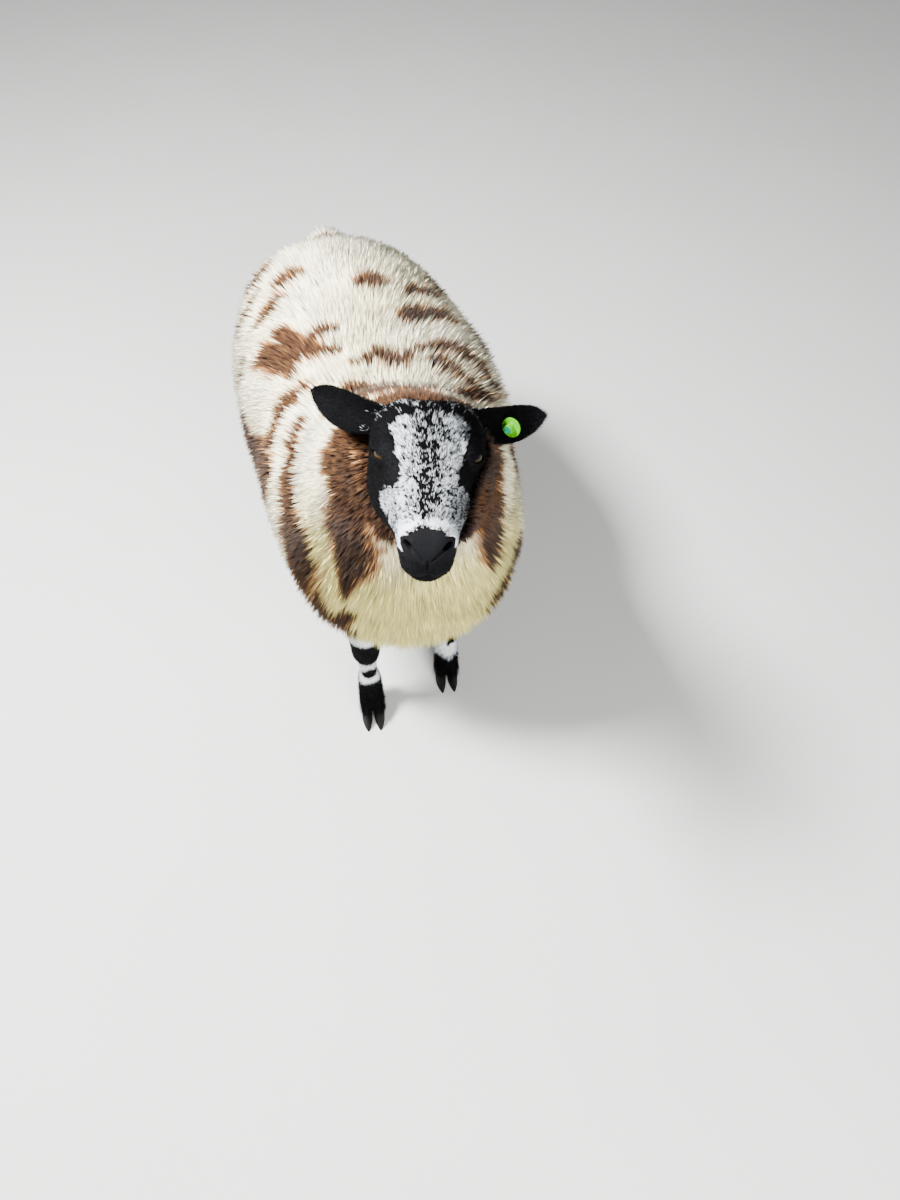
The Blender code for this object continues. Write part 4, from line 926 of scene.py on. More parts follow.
def blaze_of(forward, degrees):
    """How far inside the blaze's outline each place lies, negative outside, with degrees taken as arcs of one
    radius: the nearest distance to the outline's edges, signed by counting crossings."""
    arc = math.radians(1) * BLAZE_ARC_RADIUS
    places = np.stack([forward, degrees * arc], axis=-1)
    outline = np.array(BLAZE) * (1, arc)
    nearest = np.full(len(places), FAR_OFF)
    inside = np.zeros(len(places), bool)
    for a, b in zip(outline, np.roll(outline, -1, axis=0)):
        way = b - a
        t = np.clip((places - a) @ way / (way @ way), 0, 1)
        nearest = np.minimum(nearest, np.linalg.norm(places - a - t[:, None] * way, axis=1))
        crosses = (a[1] > places[:, 1]) != (b[1] > places[:, 1])
        with np.errstate(divide="ignore", invalid="ignore"):
            inside ^= crosses & (places[:, 0] < (b[0] - a[0]) * (places[:, 1] - a[1]) / (b[1] - a[1]) + a[0])
    return np.where(inside, nearest, -nearest)


def in_nostril(points):
    """Whether a place is in or on the edge of a nostril."""
    local = moved(points, from_head)
    local[:, 0] = np.abs(local[:, 0])
    near = np.linalg.norm(local - NOSTRIL_AT, axis=1) < 0.0095
    gaps = [np.linalg.norm(local - row[:3], axis=1) - row[3] for row in NOSTRIL_PATH]
    return near | (np.min(gaps, axis=0) < 0.0030)


def face_white(points):
    """The share of white hairs on the head: high in the blaze, lower down its middle, highest in the ring above
    the nose, and a light sprinkling on the crown and at the ears' roots."""
    forward, degrees, local = head_places(points)
    depth = blaze_of(forward, degrees)
    edge = rising(depth + 0.0015 + 0.005 * (lattice_noise(points, 0.006, 11) - 0.5), 0, 0.004)
    edge *= ((depth > -0.0003) | (forward < 0.205)) & ~in_nostril(points)
    middle = np.exp(-((degrees / 15) ** 2)) * rising(forward, 0.085, 0.02) * falling(forward, 0.203, 0.015)
    lower = rising(forward, 0.150, 0.03)
    ring = rising(forward, 0.2075, 0.005)
    share = 0.27 + 0.21 * rising(np.abs(degrees), 12, 14) - 0.14 * middle - 0.06 * lower * (1 - ring)
    share = share * (1 - ring) + 0.97 * ring
    crown = 0.14 * np.exp(-(((forward - 0.050) / 0.022) ** 2)) * np.exp(-((degrees / 45) ** 2))
    out, back = (np.abs(local[:, 0]) - 0.050) / 0.010, (local[:, 1] + 0.034) / 0.014
    roots = 0.34 * np.exp(-(out**2) - back**2) * (local[:, 2] > 0)
    return np.maximum(edge * share, np.maximum(crown, roots))


def nose_of(points):
    """The bare nose and lips: ahead of the blaze at the front of the muzzle."""
    forward, degrees, local = head_places(points)
    start = 0.2158 + 0.0065 * rising(np.abs(degrees), 0, 65) ** 1.3
    below = rising(np.abs(degrees), 88, 14)
    pad = rising(local[:, 2] + 0.0335 - 0.75 * np.abs(local[:, 0]), 0, 0.002)
    return rising(forward - start + 0.030 * below, 0, 0.003) * pad


def from_foot(points, foot):
    """How far across and along from a foot's middle each place is."""
    foot_x, foot_y = FEET[foot][:2]
    return points[:, 0] - foot_x - PLACE[0], points[:, 1] - foot_y - PLACE[1]


def leg_white(points, foot):
    """The share of white hairs down a leg: white bands below and above a black knee or hock, with ragged edges,
    and in three of the legs a black spot in the lower one."""
    x, y = from_foot(points, foot)
    z = points[:, 2] + 0.010 * (lattice_noise(points, 0.009, 21) - 0.5)
    front_spot = (np.hypot(x + 0.001, z - 0.117) < 0.0135) & (y < 0.0)
    lower, upper, spot = {
        "fore_right": ((0.086 + 0.012 * (y > 0.004), 0.155), 0.222, front_spot),
        "fore_left": ((0.067, 0.092 + 0.014 * (x < 0)), 0.168, False),
        "hind_right": ((0.095, 0.188), 0.246, (np.hypot(y - 0.010, z - 0.140) < 0.012) & (x < 0)),
        "hind_left": ((0.082, 0.160), 0.232, (np.hypot(y + 0.006, z - 0.110) < 0.011) & (x > 0)),
    }[foot]
    bands = (rising(z, low, 0.003) * falling(z, high, 0.003) for low, high in (lower, (upper, 0.50)))
    return np.where(spot, 0.0, np.maximum(*bands))


# The skin: body, head, ears and legs in one closed surface, so that no seam shows. Where wool grows it has the
# wool's shadowed colours, painted shade for the gaps between the locks, and on the face and legs short flat hair, black
# with white markings.
SKIN_NODES = ("torso", "neck", "tail", "head", "ear_left", "ear_right")
SHORT_WHITE = (0.74, 0.72, 0.68, 1)
SHORT_BLACK = (0.003, 0.003, 0.0036, 1)
NOSE_BLACK = (0.0024, 0.0025, 0.0031, 1)
PAINTED_SHADE_CREAM = (0.50, 0.40, 0.26, 1)
PAINTED_SHADE_BROWN = (0.055, 0.026, 0.016, 1)
LEGS_BELOW = 0.45
LEG_REACH = 0.09


def set_values(mesh, name, values):
    layer = mesh.attributes.new(name, "FLOAT", "POINT")
    layer.data.foreach_set("value", np.asarray(values, np.float32))


set_values(body.data, "short_hair", np.zeros(len(body.data.vertices)))
short_haired = (head, *ears.values(), *legs.values())
for obj in short_haired:
    set_values(obj.data, "short_hair", np.ones(len(obj.data.vertices)))
combine(body, short_haired, "UNION")
skin = body
skin.name = "skin"
skin.data.shade_smooth()
hairy = np.empty(len(skin.data.vertices), np.float32)
skin.data.attributes["short_hair"].data.foreach_get("value", hairy)

points, normals = surface_of(skin)[:2]
on_head = (hairy > 0.5) & (points[:, 2] > LEGS_BELOW)
on_leg = (hairy > 0.5) & (points[:, 2] < LEGS_BELOW)
white = np.where(on_head, face_white(points), 0.0)
for foot in FEET:
    mine = on_leg & (np.hypot(*from_foot(points, foot)) < LEG_REACH)
    white[mine] = leg_white(points[mine], foot)
set_values(skin.data, "brown", brown_of(points, normals))
set_values(skin.data, "white", white)
set_values(skin.data, "nose", np.where(on_head, nose_of(points), 0.0))


def value_of(tree, name):
    return add_node(tree, "ShaderNodeAttribute", attribute_name=name).outputs["Fac"]


def calc(tree, operation, first, second=0.0):
    return add_node(tree, "ShaderNodeMath", {0: first, 1: second}, operation=operation).outputs[0]


def add_relief(tree, shader, height, strength, distance):
    bump = add_node(tree, "ShaderNodeBump", {"Strength": strength, "Distance": distance, "Height": height})
    tree.links.new(bump.outputs["Normal"], shader.inputs["Normal"])


hide, tree, shader = new_material("hide", {"Roughness": 0.75, "Specular IOR Level": 0.035})
speckle = spread_out(tree, noise(tree, 420.0, 3.0, 0.7), 0.30, 0.70)
shown = spread_out(tree, calc(tree, "SUBTRACT", value_of(tree, "white"), speckle), 0.01, 0.20)
short = blend(tree, shown, SHORT_BLACK, SHORT_WHITE)
short = blend(tree, value_of(tree, "nose"), short, NOSE_BLACK)
# Under the wool the skin is painted shade: the wool's cream or brown as it looks deep between the locks.
painted_shade_under_wool = blend(tree, value_of(tree, "brown"), PAINTED_SHADE_CREAM, PAINTED_SHADE_BROWN)
colour = blend(tree, value_of(tree, "short_hair"), painted_shade_under_wool, short)
tree.links.new(colour, shader.inputs["Base Color"])
rough = spread_out(tree, value_of(tree, "nose"), 0, 1, 0.80, 0.55)
tree.links.new(rough, shader.inputs["Roughness"])
where = add_node(tree, "ShaderNodeTexCoord").outputs["Object"]
pebbles = add_node(tree, "ShaderNodeTexVoronoi", {"Vector": where, "Scale": 1000.0}, feature="DISTANCE_TO_EDGE")
pebbled = calc(tree, "MULTIPLY", spread_out(tree, pebbles.outputs["Distance"], 0.0, 0.25), value_of(tree, "nose"))
lying = calc(tree, "MULTIPLY", noise(tree, 700.0, 4.0, 0.7), 0.8)
add_relief(tree, shader, calc(tree, "ADD", pebbled, lying), 0.55, 0.0005)
skin.data.materials.clear()
skin.data.materials.append(hide)
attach(skin, "root")
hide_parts(*SKIN_NODES, *(f"leg_{foot}" for foot in FEET))


# The fleece: pointed locks of wool that stand off the skin and lean back and down from the spine, gathered a
# little at their tips, with fine wisps between. They hang longer and yellower on the breast. Brown wool grows on
# the left cheek too.
LOCKS_PER_M2 = 36000
WISPS_PER_M2 = 225000
LOCK_LEAN = 0.020
LOCK_HALF_WIDTH = 0.0015
WISP_HALF_WIDTH = 0.00085
WISP_LIFT = 0.35
LOCK_SINK = 0.004
LOCK_WAIST = 0.52
LOCK_FLATNESS = 0.6
BUNCH_SIZE = 0.0062
BREAST_LEAN = 0.038
PATCH_SIZE = 0.003
WOOL_SEED = 5
TAIL_FROM_Y = 0.424
# The regions' bounds: before and behind in y, round from the spine in radians, and the breast's top
FORE_TO = -0.09
AFT_FROM = 0.27
BACK_TO = 1.05
BREAST_TO = 0.52
RUMP_MIDDLE_Y = 0.25
MIDDLE_HEIGHT = 0.43


def scattered(surface, per_m2, rng):
    """Places spread over a surface with their normals. A triangle gets the whole numbers that its share of the
    area carries the running total past; each place is a random mean of the three corners."""
    points, normals, faces = surface
    corners = points[faces]
    area = 0.5 * np.linalg.norm(np.cross(corners[:, 1] - corners[:, 0], corners[:, 2] - corners[:, 0]), axis=1)
    total = np.floor(np.cumsum(area * per_m2[faces].mean(1)) + rng.random()).astype(int)
    owner = np.repeat(np.arange(len(faces)), np.diff(total, prepend=0))
    a, b = rng.random((2, len(owner)))
    over = a + b > 1
    a, b = np.where(over, 1 - a, a), np.where(over, 1 - b, b)
    weights = np.stack([1 - a - b, a, b], axis=1)[..., None]
    return (corners[owner] * weights).sum(1), unit((normals[faces[owner]] * weights).sum(1))


def laid_along(normals, way):
    """The given way, less its part along the normal, as unit vectors."""
    way = np.broadcast_to(np.asarray(way, float), normals.shape)
    return unit(way - normals * (way * normals).sum(1, keepdims=True))


def bunch_centres(points, size, seed):
    """For each place the nearest of one random point in each cube of a lattice, looked for in the 27 cubes round
    it, and a random number of that point."""
    cell = np.floor(points / size).astype(np.int64)
    best = np.full(len(points), FAR_OFF)
    centre = points.copy()
    mark = np.zeros(len(points))
    table = np.random.default_rng(seed).random((LATTICE_SIZE, 4))
    for step in np.ndindex(3, 3, 3):
        there = cell + step - 1
        index = lattice_index(there)
        point = (there + table[index, :3]) * size
        gap = np.linalg.norm(points - point, axis=1)
        near = gap < best
        best[near] = gap[near]
        centre[near] = point[near]
        mark[near] = table[index[near], 3]
    return centre, mark


CORNERS = np.array([0.5, 7 / 6, 11 / 6]) * math.pi


def tufts(roots, normals, lies, height, lean, half_width, sink, rng, pull):
    """Three-sided tapered locks. The middle line is root + normal * height * (1.5 t - 0.5 t^2) + lie * lean * t^1.6
    + pull * t^2, with a ring at the sunk root, a ring past the middle and a point at t = 1."""
    height, lean, half_width = (v[:, None] for v in (height, lean, half_width))
    t = LOCK_WAIST
    base = roots - normals * sink
    waist = roots + normals * height * (1.5 * t - 0.5 * t**2) + lies * lean * t**1.6 + pull * t**2
    tip = roots + normals * height + lies * lean + pull
    along = unit(tip - roots)
    across = unit(np.cross(normals, along))
    roll = rng.uniform(-0.7, 0.7, len(roots))[:, None]
    side = np.cos(roll) * across + np.sin(roll) * np.cross(along, across)
    thick = np.cross(along, side)
    ring = np.cos(CORNERS)[:, None] * side[:, None] + LOCK_FLATNESS * np.sin(CORNERS)[:, None] * thick[:, None]
    half_width = half_width[:, None]
    rings = [base[:, None] + 0.75 * half_width * ring, waist[:, None] + half_width * ring, tip[:, None]]
    sides = [(0, 1, 4), (0, 4, 3), (1, 2, 5), (1, 5, 4), (2, 0, 3), (2, 3, 5)]
    ends = [(3, 4, 6), (4, 5, 6), (5, 3, 6), (0, 2, 1)]
    faces = (np.arange(len(roots))[:, None, None] * 7 + (sides + ends)).reshape(-1, 3)
    return np.concatenate(rings, axis=1).reshape(-1, 3), faces, np.array([0, 0, 0, t, t, t, 1.0])


def wisps(roots, normals, lies, height, lean, half_width, sink, rng, pull):
    """Straight three-sided spikes for the finest hair: a triangle square to the spike, sunk under the root, and a
    point at root + normal * height + lie * lean + pull."""
    height, lean, half_width = (v[:, None] for v in (height, lean, half_width))
    tip = roots + normals * height + lies * lean + pull
    along = unit(tip - roots)
    side = unit(np.cross(normals, along))
    thick = np.cross(along, side)
    angle = (CORNERS + rng.uniform(0, 2, (len(roots), 1)))[..., None]
    ring = np.cos(angle) * side[:, None] + np.sin(angle) * thick[:, None]
    points = np.concatenate([(roots - normals * sink)[:, None] + half_width[:, None] * ring, tip[:, None]], axis=1)
    faces = (np.arange(len(roots))[:, None, None] * 4 + [(0, 1, 3), (1, 2, 3), (2, 0, 3), (0, 2, 1)]).reshape(-1, 3)
    return points.reshape(-1, 3), faces, np.array([0, 0, 0, 1.0])


def coat_piece(name, locks, values, unwrapped, material):
    """A mesh of locks with their values, and the map for baking: each lock is a small patch at its root's place
    on the unwrapped skin."""
    points, faces, rise = locks
    mesh = make_mesh(name, points, faces)
    set_values(mesh, "along", np.tile(rise, len(points) // len(rise)))
    for key, value in values.items():
        set_values(mesh, key, np.repeat(value, len(rise)))
    low, high = unwrapped.min(0), unwrapped.max(0)
    root = 0.01 + 0.98 * (unwrapped - low) / (high - low)
    across = np.resize([-1.0, 0.0, 1.0], len(rise)) * (rise < 1)
    patch = np.stack([across * 0.5 * PATCH_SIZE, (rise - 0.5) * PATCH_SIZE], axis=-1)
    where = (root[:, None] + patch[None]).reshape(-1, 2)
    layer = mesh.uv_layers.new(name="OFBake")
    layer.data.foreach_set("uv", where[faces.ravel()].astype(np.float32).ravel())
    mesh.materials.append(material)
    piece = place_object(name, mesh)
    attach(piece, "root")
    return piece


def wool_at(per_m2, rng):
    """Where the wool's locks root, how far each stands off and leans, and its values: all as arrays in a dict."""
    downward = np.clip(-body_surface[1][:, 2], 0, 1)
    facing = falling(body_surface[0][:, 1], -0.12, 0.06)
    roots, normals = scattered(body_surface, per_m2 * (1 - 0.45 * downward**2) * (1 + 0.6 * facing), rng)
    clear = ~inside_head(roots)
    for foot in FEET:
        clear &= ~((np.hypot(*from_foot(roots, foot)) < 0.024) & (normals[:, 2] < -0.3))
    forward, degrees = head_places(head_surface[0])[:2]
    ruff = (degrees > 78 + 400 * np.maximum(forward - 0.11, 0)) & (degrees < 150) & (forward > 0.03) & (forward < 0.152)
    cheek_roots, cheek_normals = scattered(head_surface, per_m2 * 1.3 * ruff, rng)
    on_cheek = np.concatenate([np.zeros(clear.sum()), np.ones(len(cheek_roots))])
    roots, normals = np.concatenate([roots[clear], cheek_roots]), np.concatenate([normals[clear], cheek_normals])
    count = len(roots)
    x, y, z = roots.T
    on_tail = y > PLACE[1] + TAIL_FROM_Y
    front = falling(y, -0.17, 0.08) * falling(z, 0.60, 0.10)
    near_poll = rising(z, 0.62, 0.06)
    at_rump = rising(y - PLACE[1], 0.36, 0.04)
    under = np.clip(-normals[:, 2], 0, 1)
    centres, bunch = bunch_centres(roots, BUNCH_SIZE, 6)
    sway = np.stack([lattice_noise(roots, 0.03, s) - 0.5 for s in (31, 32, 33)], axis=1)
    pull = 0.80 * (centres - roots) + 0.0008 * rng.normal(0, 1, (count, 3)) + 0.016 * sway
    pull -= normals * (pull * normals).sum(1, keepdims=True)
    long = rng.uniform(0.84, 1.10, count) * (0.90 + 0.20 * bunch)
    brown = np.clip(1.5 * np.maximum(brown_of(roots, normals), on_cheek) - 0.5 * rng.random(count), 0, 1)
    clouds = np.clip(2.2 * lattice_noise(roots, 0.013, 35) - 0.6, 0, 1)
    by_face = falling(y, -0.14, 0.08)
    low_right = falling(x, -0.10, 0.05) * falling(z, 0.47, 0.08)
    high_left = rising(x, 0.07, 0.04) * rising(z, 0.43, 0.05) * np.clip(1.5 - np.abs(y - 0.08) / 0.10, 0, 1)
    height = np.where(on_tail, 0.8 * TAIL_WOOL_DEPTH, WOOL_DEPTH * (1 - 0.25 * at_rump)) * long
    height = height * (1 - 0.12 * near_poll + 0.85 * front * under)
    lean = (LOCK_LEAN + (BREAST_LEAN - LOCK_LEAN + 0.020 * under) * front) * long * np.where(on_tail, 0.75, 1.0)
    return {
        "roots": roots,
        "normals": normals,
        "lies": laid_along(normals, np.array([0.0, 0.5, -1.0]) + on_cheek[:, None] * (0.0, 0.8, 0.3)),
        "height": height * (1 - 0.4 * on_cheek - 0.35 * low_right + 0.55 * high_left),
        "lean": lean * (1 - 0.45 * near_poll) * (1 - 0.55 * by_face * (1 - front)),
        "pull": pull,
        "brown": brown,
        "shade": (0.25 * rng.random(count) + 0.40 * bunch + 0.35 * clouds) * (1 - 0.6 * brown * by_face),
        "girth": 1 - 0.3 * by_face,
        "yellow": np.clip(front * 1.1 + 0.35 * lattice_noise(roots, 0.08, 41) - 0.1, 0, 1),
    }


# Each lock runs from a dark root to a pale tip. The roots' colours are partly the wool's own yellow-tan near the skin
# and partly painted shade, the shadow deep between the locks; brown locks darken from the middle down for the same two
# reasons.
CREAM_ROOT_AND_SHADE = (0.34, 0.20, 0.10, 1)
CREAM_TIP = (0.98, 0.92, 0.69, 1)
BREAST_ROOT_AND_SHADE = (0.40, 0.27, 0.09, 1)
BREAST_TIP = (1.0, 0.90, 0.33, 1)
FAWN = (0.56, 0.25, 0.08, 1)
BROWN_ROOT_AND_SHADE = (0.007, 0.003, 0.0018, 1)
BROWN_MIDDLE = (0.030, 0.0125, 0.0065, 1)
BROWN_TIP = (0.155, 0.068, 0.022, 1)


def shaded(tree, colour, shade):
    """The colour times a shade."""
    grey = add_node(tree, "ShaderNodeCombineColor", {"Red": shade, "Green": shade, "Blue": shade}).outputs[0]
    return blend(tree, 1.0, colour, grey, "MULTIPLY")


wool, tree, shader = new_material("wool", {"Roughness": 0.95, "Specular IOR Level": 0.08, "Sheen Weight": 0.02})
up_lock = value_of(tree, "along")
# Root to tip along each lock. The dark lower part is partly the wool's colour and partly painted shade.
cream = blend(tree, spread_out(tree, up_lock, 0.1, 0.7), CREAM_ROOT_AND_SHADE, CREAM_TIP)
breast = blend(tree, spread_out(tree, up_lock, 0.1, 0.7), BREAST_ROOT_AND_SHADE, BREAST_TIP)
pale = blend(tree, value_of(tree, "yellow"), cream, breast)
dark = blend(tree, spread_out(tree, up_lock, 0.15, 0.60), BROWN_ROOT_AND_SHADE, BROWN_MIDDLE)
dark = blend(tree, spread_out(tree, up_lock, 0.60, 1.05), dark, BROWN_TIP)
colour = blend(tree, spread_out(tree, value_of(tree, "brown"), 0.0, 0.5), pale, FAWN)
colour = blend(tree, spread_out(tree, value_of(tree, "brown"), 0.4, 0.9), colour, dark)
shade = spread_out(tree, value_of(tree, "shade"), 0, 1, 0.50, 1.16)
shade = calc(tree, "MULTIPLY", shade, spread_out(tree, noise(tree, 1100.0, 2.0, 0.7), 0.3, 0.7, 0.80, 1.14))
tree.links.new(shaded(tree, colour, shade), shader.inputs["Base Color"])


def wool_parts(roots):
    """The fleece's regions, each a name, the roots in it and their places on the unwrapped skin: round the spine
    and along it, or round the rump's middle."""
    turn = np.arctan2(roots[:, 0] - spine_x(roots[:, 1] - PLACE[1]) - PLACE[0], roots[:, 2] - MIDDLE_HEIGHT)
    left = turn > 0
    fore, aft = roots[:, 1] < FORE_TO, roots[:, 1] > AFT_FROM
    amid = ~fore & ~aft
    high = np.abs(turn) < BACK_TO
    low_front = roots[:, 2] < BREAST_TO
    along = np.stack([roots[:, 1] + 0.4 * (roots[:, 2] - MIDDLE_HEIGHT) * fore, turn], axis=1)
    way = unit(roots - (PLACE[0] + spine_x(RUMP_MIDDLE_Y), RUMP_MIDDLE_Y, MIDDLE_HEIGHT))
    tilt = np.arccos(np.clip(way[:, 1], -1, 1))
    round_it = np.arctan2(way[:, 0], way[:, 2])
    behind = np.stack([tilt * np.sin(round_it), tilt * np.cos(round_it)], axis=1)
    for region, chosen, unwrapped in (
        ("rump", aft, behind), ("back", amid & high, along), ("flank", amid & ~high, along),
        ("breast", fore & low_front, along), ("neck", fore & ~low_front, along),
    ):
        yield f"{region}_left", chosen & left, unwrapped
        yield f"{region}_right", chosen & ~left, unwrapped


rng = np.random.default_rng(WOOL_SEED)
for kind, per_m2, half_width in (("locks", LOCKS_PER_M2, LOCK_HALF_WIDTH), ("wisps", WISPS_PER_M2, WISP_HALF_WIDTH)):
    wool_of = wool_at(per_m2, rng)
    for part, chosen, unwrapped in wool_parts(wool_of["roots"]):
        mine = {key: value[chosen] for key, value in wool_of.items()}
        width = half_width * rng.uniform(0.75, 1.25, chosen.sum()) * mine["girth"]
        shape = *(mine[key] for key in ("roots", "normals", "lies", "height", "lean")), width
        if kind == "locks":
            locks = tufts(*shape, LOCK_SINK, rng, mine["pull"])
        else:
            locks = wisps(*shape, -WISP_LIFT * mine["height"][:, None], rng, mine["pull"])
        values = {key: mine[key] for key in ("brown", "shade", "yellow")}
        piece = coat_piece(f"wool_{kind}_{part}", locks, values, unwrapped[chosen], wool)


# The short hair of head, ears and legs: fine tufts that lie flat and break the edge of the skin. On the blaze
# noise in streaks down the face chooses the white ones.
HAIR_PER_M2 = {"blaze": 2600000, "head": 560000, "ear": 800000, "leg": 280000}
HAIR_SEED = 9
HAIR_HALF_WIDTHS = {"head": 0.00038, "ear": 0.00040, "leg": 0.00060}
HAIR_SWAY = 0.0005
LEG_HAIR_SWAY = 0.0007
HAIR_SINK = 0.0005
LEG_HAIR_SINK = 0.0008
LID_HAIR_CLEARANCE = 0.0022
WHITE_ROOT = (0.42, 0.45, 0.48, 1)
WHITE_TIP = (0.84, 0.89, 0.93, 1)
BLACK_ROOT = (0.0005, 0.0005, 0.0006, 1)
BLACK_TIP = (0.0026, 0.0026, 0.0032, 1)


def bare_eye(points):
    """Whether a place is inside the opening of the lids."""
    local = moved(points, from_head)
    gap = np.minimum(*(np.linalg.norm(local - on_side(side, EYE_AT), axis=1) for side in (1, -1)))
    return gap < EYE_RADIUS + LID_HAIR_CLEARANCE


def hair_piece(name, roots, normals, lies, lift, length, half_width, white, unwrapped, sway, sink=HAIR_SINK):
    """A piece of fine hair. The sway is an array, or the spread of one that is drawn here."""
    half_width = half_width * rng.uniform(0.8, 1.3, len(roots))
    pull = rng.normal(0, sway, (len(roots), 3)) if np.isscalar(sway) else sway
    hairs = wisps(roots, normals, lies, lift, length, half_width, sink, rng, pull)
    piece = coat_piece(name, hairs, {"white": white, "shade": rng.random(len(roots))}, unwrapped, hair)


rng = np.random.default_rng(HAIR_SEED)
hair, tree, shader = new_material("short_hair", {"Roughness": 0.7, "Specular IOR Level": 0.03})
up_hair = value_of(tree, "along")
white_hair = blend(tree, up_hair, WHITE_ROOT, WHITE_TIP)
colour = blend(tree, value_of(tree, "white"), blend(tree, up_hair, BLACK_ROOT, BLACK_TIP), white_hair)
shade = spread_out(tree, value_of(tree, "shade"), 0, 1, 0.7, 1.0)
tree.links.new(shaded(tree, colour, shade), shader.inputs["Base Color"])

blazed = np.clip(face_white(head_surface[0]) * 3, 0, 1)
per_m2 = HAIR_PER_M2["head"] + (HAIR_PER_M2["blaze"] - HAIR_PER_M2["head"]) * blazed
roots, normals = scattered(head_surface, per_m2, rng)
keep = (nose_of(roots) < 0.3) & ~bare_eye(roots) & ~in_nostril(roots)
forward, degrees, local = head_places(roots)
keep &= (forward > 0.0) & ~((forward < 0.05) & (np.abs(degrees) > 100))
keep &= (blaze_of(forward, degrees) > -0.0005) | (forward < 0.205) | (np.abs(degrees) > 100)
roots, normals, forward, degrees, local = (rows[keep] for rows in (roots, normals, forward, degrees, local))
count = len(roots)
outward = 0.55 * np.sign(local[:, 0]) * rising(np.abs(local[:, 0]), 0, 0.02)
way = np.stack([outward, np.full(count, 1.0), -0.15 * (np.abs(degrees) > 70)], axis=1)
lies = laid_along(normals, way @ np.array(head_frame)[:3, :3].T)
share = face_white(roots)
high_up = falling(forward, 0.15, 0.06)
fan = local[:, 0] / (1 + 6 * np.maximum(0.13 - forward, 0))
streaks = np.stack([fan, (0.85 - 0.6 * high_up) * forward, np.zeros(count)], axis=1)
fleck = 0.29 * lattice_noise(roots, 0.0042, 51) + 0.36 * lattice_noise(streaks, 0.0015, 52) + 0.35 * rng.random(count)
white = (fleck < np.quantile(fleck, np.clip(share, 0, 1))).astype(float) * (share > 0.02)
beside_mouth = (forward > 0.205) & (np.abs(degrees) > 75)
length = (0.0030 + 0.0038 * high_up) * rng.uniform(0.7, 1.25, count) * np.where(beside_mouth, 0.35, 1.0)
sway = rng.normal(0, HAIR_SWAY, (count, 3))
unwrapped = np.stack([forward, degrees], axis=1)
on_blaze = share > 0.3
for name, chosen in (
    ("hair_blaze_left", on_blaze & (local[:, 0] >= 0.0)),
    ("hair_blaze_right", on_blaze & (local[:, 0] < 0.0)),
    ("hair_face", ~on_blaze),
):
    whole = (roots, normals, lies, 0.0009 + 0.14 * length, length)
    part = (rows[chosen] for rows in whole)
    hair_piece(name, *part, HAIR_HALF_WIDTHS["head"], white[chosen], unwrapped[chosen], sway[chosen])

for side, word in ((1, "left"), (-1, "right")):
    surface = ear_surfaces[side]
    roots, normals = scattered(surface, np.full(len(surface[0]), HAIR_PER_M2["ear"]), rng)
    keep = ~inside_head(roots)
    roots, normals = roots[keep], normals[keep]
    frame_of_ear = head_frame @ ear_frame(side)
    local = moved(roots, frame_of_ear.inverted())
    inner = (normals @ np.array(frame_of_ear)[:3, 2]) > 0
    lies = laid_along(normals, np.array(frame_of_ear)[:3, 0])
    root_share = np.clip(1 - local[:, 0] / 0.045, 0, 1)
    white = (rng.random(len(roots)) < 0.07 * root_share**2 * (normals[:, 2] > 0.1)).astype(float)
    length = np.where(inner, 0.006, 0.005) * rng.uniform(0.7, 1.3, len(roots)) * (1 + 0.5 * root_share)
    lift = 0.0009 + 0.10 * length
    unwrapped = np.stack([local[:, 0], np.where(inner, 1, 3) * 0.05 + local[:, 1]], axis=1)
    half_width = HAIR_HALF_WIDTHS["ear"]
    hair_piece(f"hair_ear_{word}", roots, normals, lies, lift, length, half_width, white, unwrapped, HAIR_SWAY)

for foot, surface in leg_surfaces.items():
    roots, normals = scattered(surface, np.full(len(surface[0]), HAIR_PER_M2["leg"]), rng)
    keep = (roots[:, 2] < 0.30) & (normals[:, 2] > -0.75)
    roots, normals = roots[keep], normals[keep]
    lies = laid_along(normals, (0.0, 0.15, -1.0))
    white = (rng.random(len(roots)) < leg_white(roots, foot)).astype(float)
    low = falling(roots[:, 2], 0.09, 0.03)
    length = (0.0065 + 0.0055 * low) * rng.uniform(0.7, 1.2, len(roots)) * np.clip((roots[:, 2] - 0.008) / 0.02, 0.4, 1)
    lift = 0.0012 + (0.14 + 0.22 * low) * length
    centre = np.array(FEET[foot][:2]) + PLACE[:2]
    unwrapped = np.stack([roots[:, 2], np.arctan2(roots[:, 0] - centre[0], roots[:, 1] - centre[1])], axis=1)
    half_width = HAIR_HALF_WIDTHS["leg"]
    hair_piece(
        f"hair_leg_{foot}", roots, normals, lies, lift, length, half_width, white, unwrapped, LEG_HAIR_SWAY,
        LEG_HAIR_SINK,
    )


# The eyes: dark brown balls that bulge over the iris, behind the lids, with a level slit of a pupil where
# |x/a|^3 + |y/b|^3 is below about 1.
IRIS_RADIUS = 0.0092
PUPIL_HALF_WIDTH = 0.0042
PUPIL_HALF_HEIGHT = 0.0016
# The pupil sits raised in the opening, so that its dark also stands for painted shade under the upper lid.
PUPIL_RAISED_INTO_LID_SHADE = 0.0010
BULGE_RADIUS = 0.0075
BULGE_HEIGHT = 0.0006
IRIS_DARK = (0.012, 0.0065, 0.0022, 1)
IRIS_LIGHT = (0.034, 0.019, 0.0065, 1)
RIM_COLOUR = (0.020, 0.012, 0.008, 1)
PUPIL_COLOUR = (0.002, 0.002, 0.003, 1)

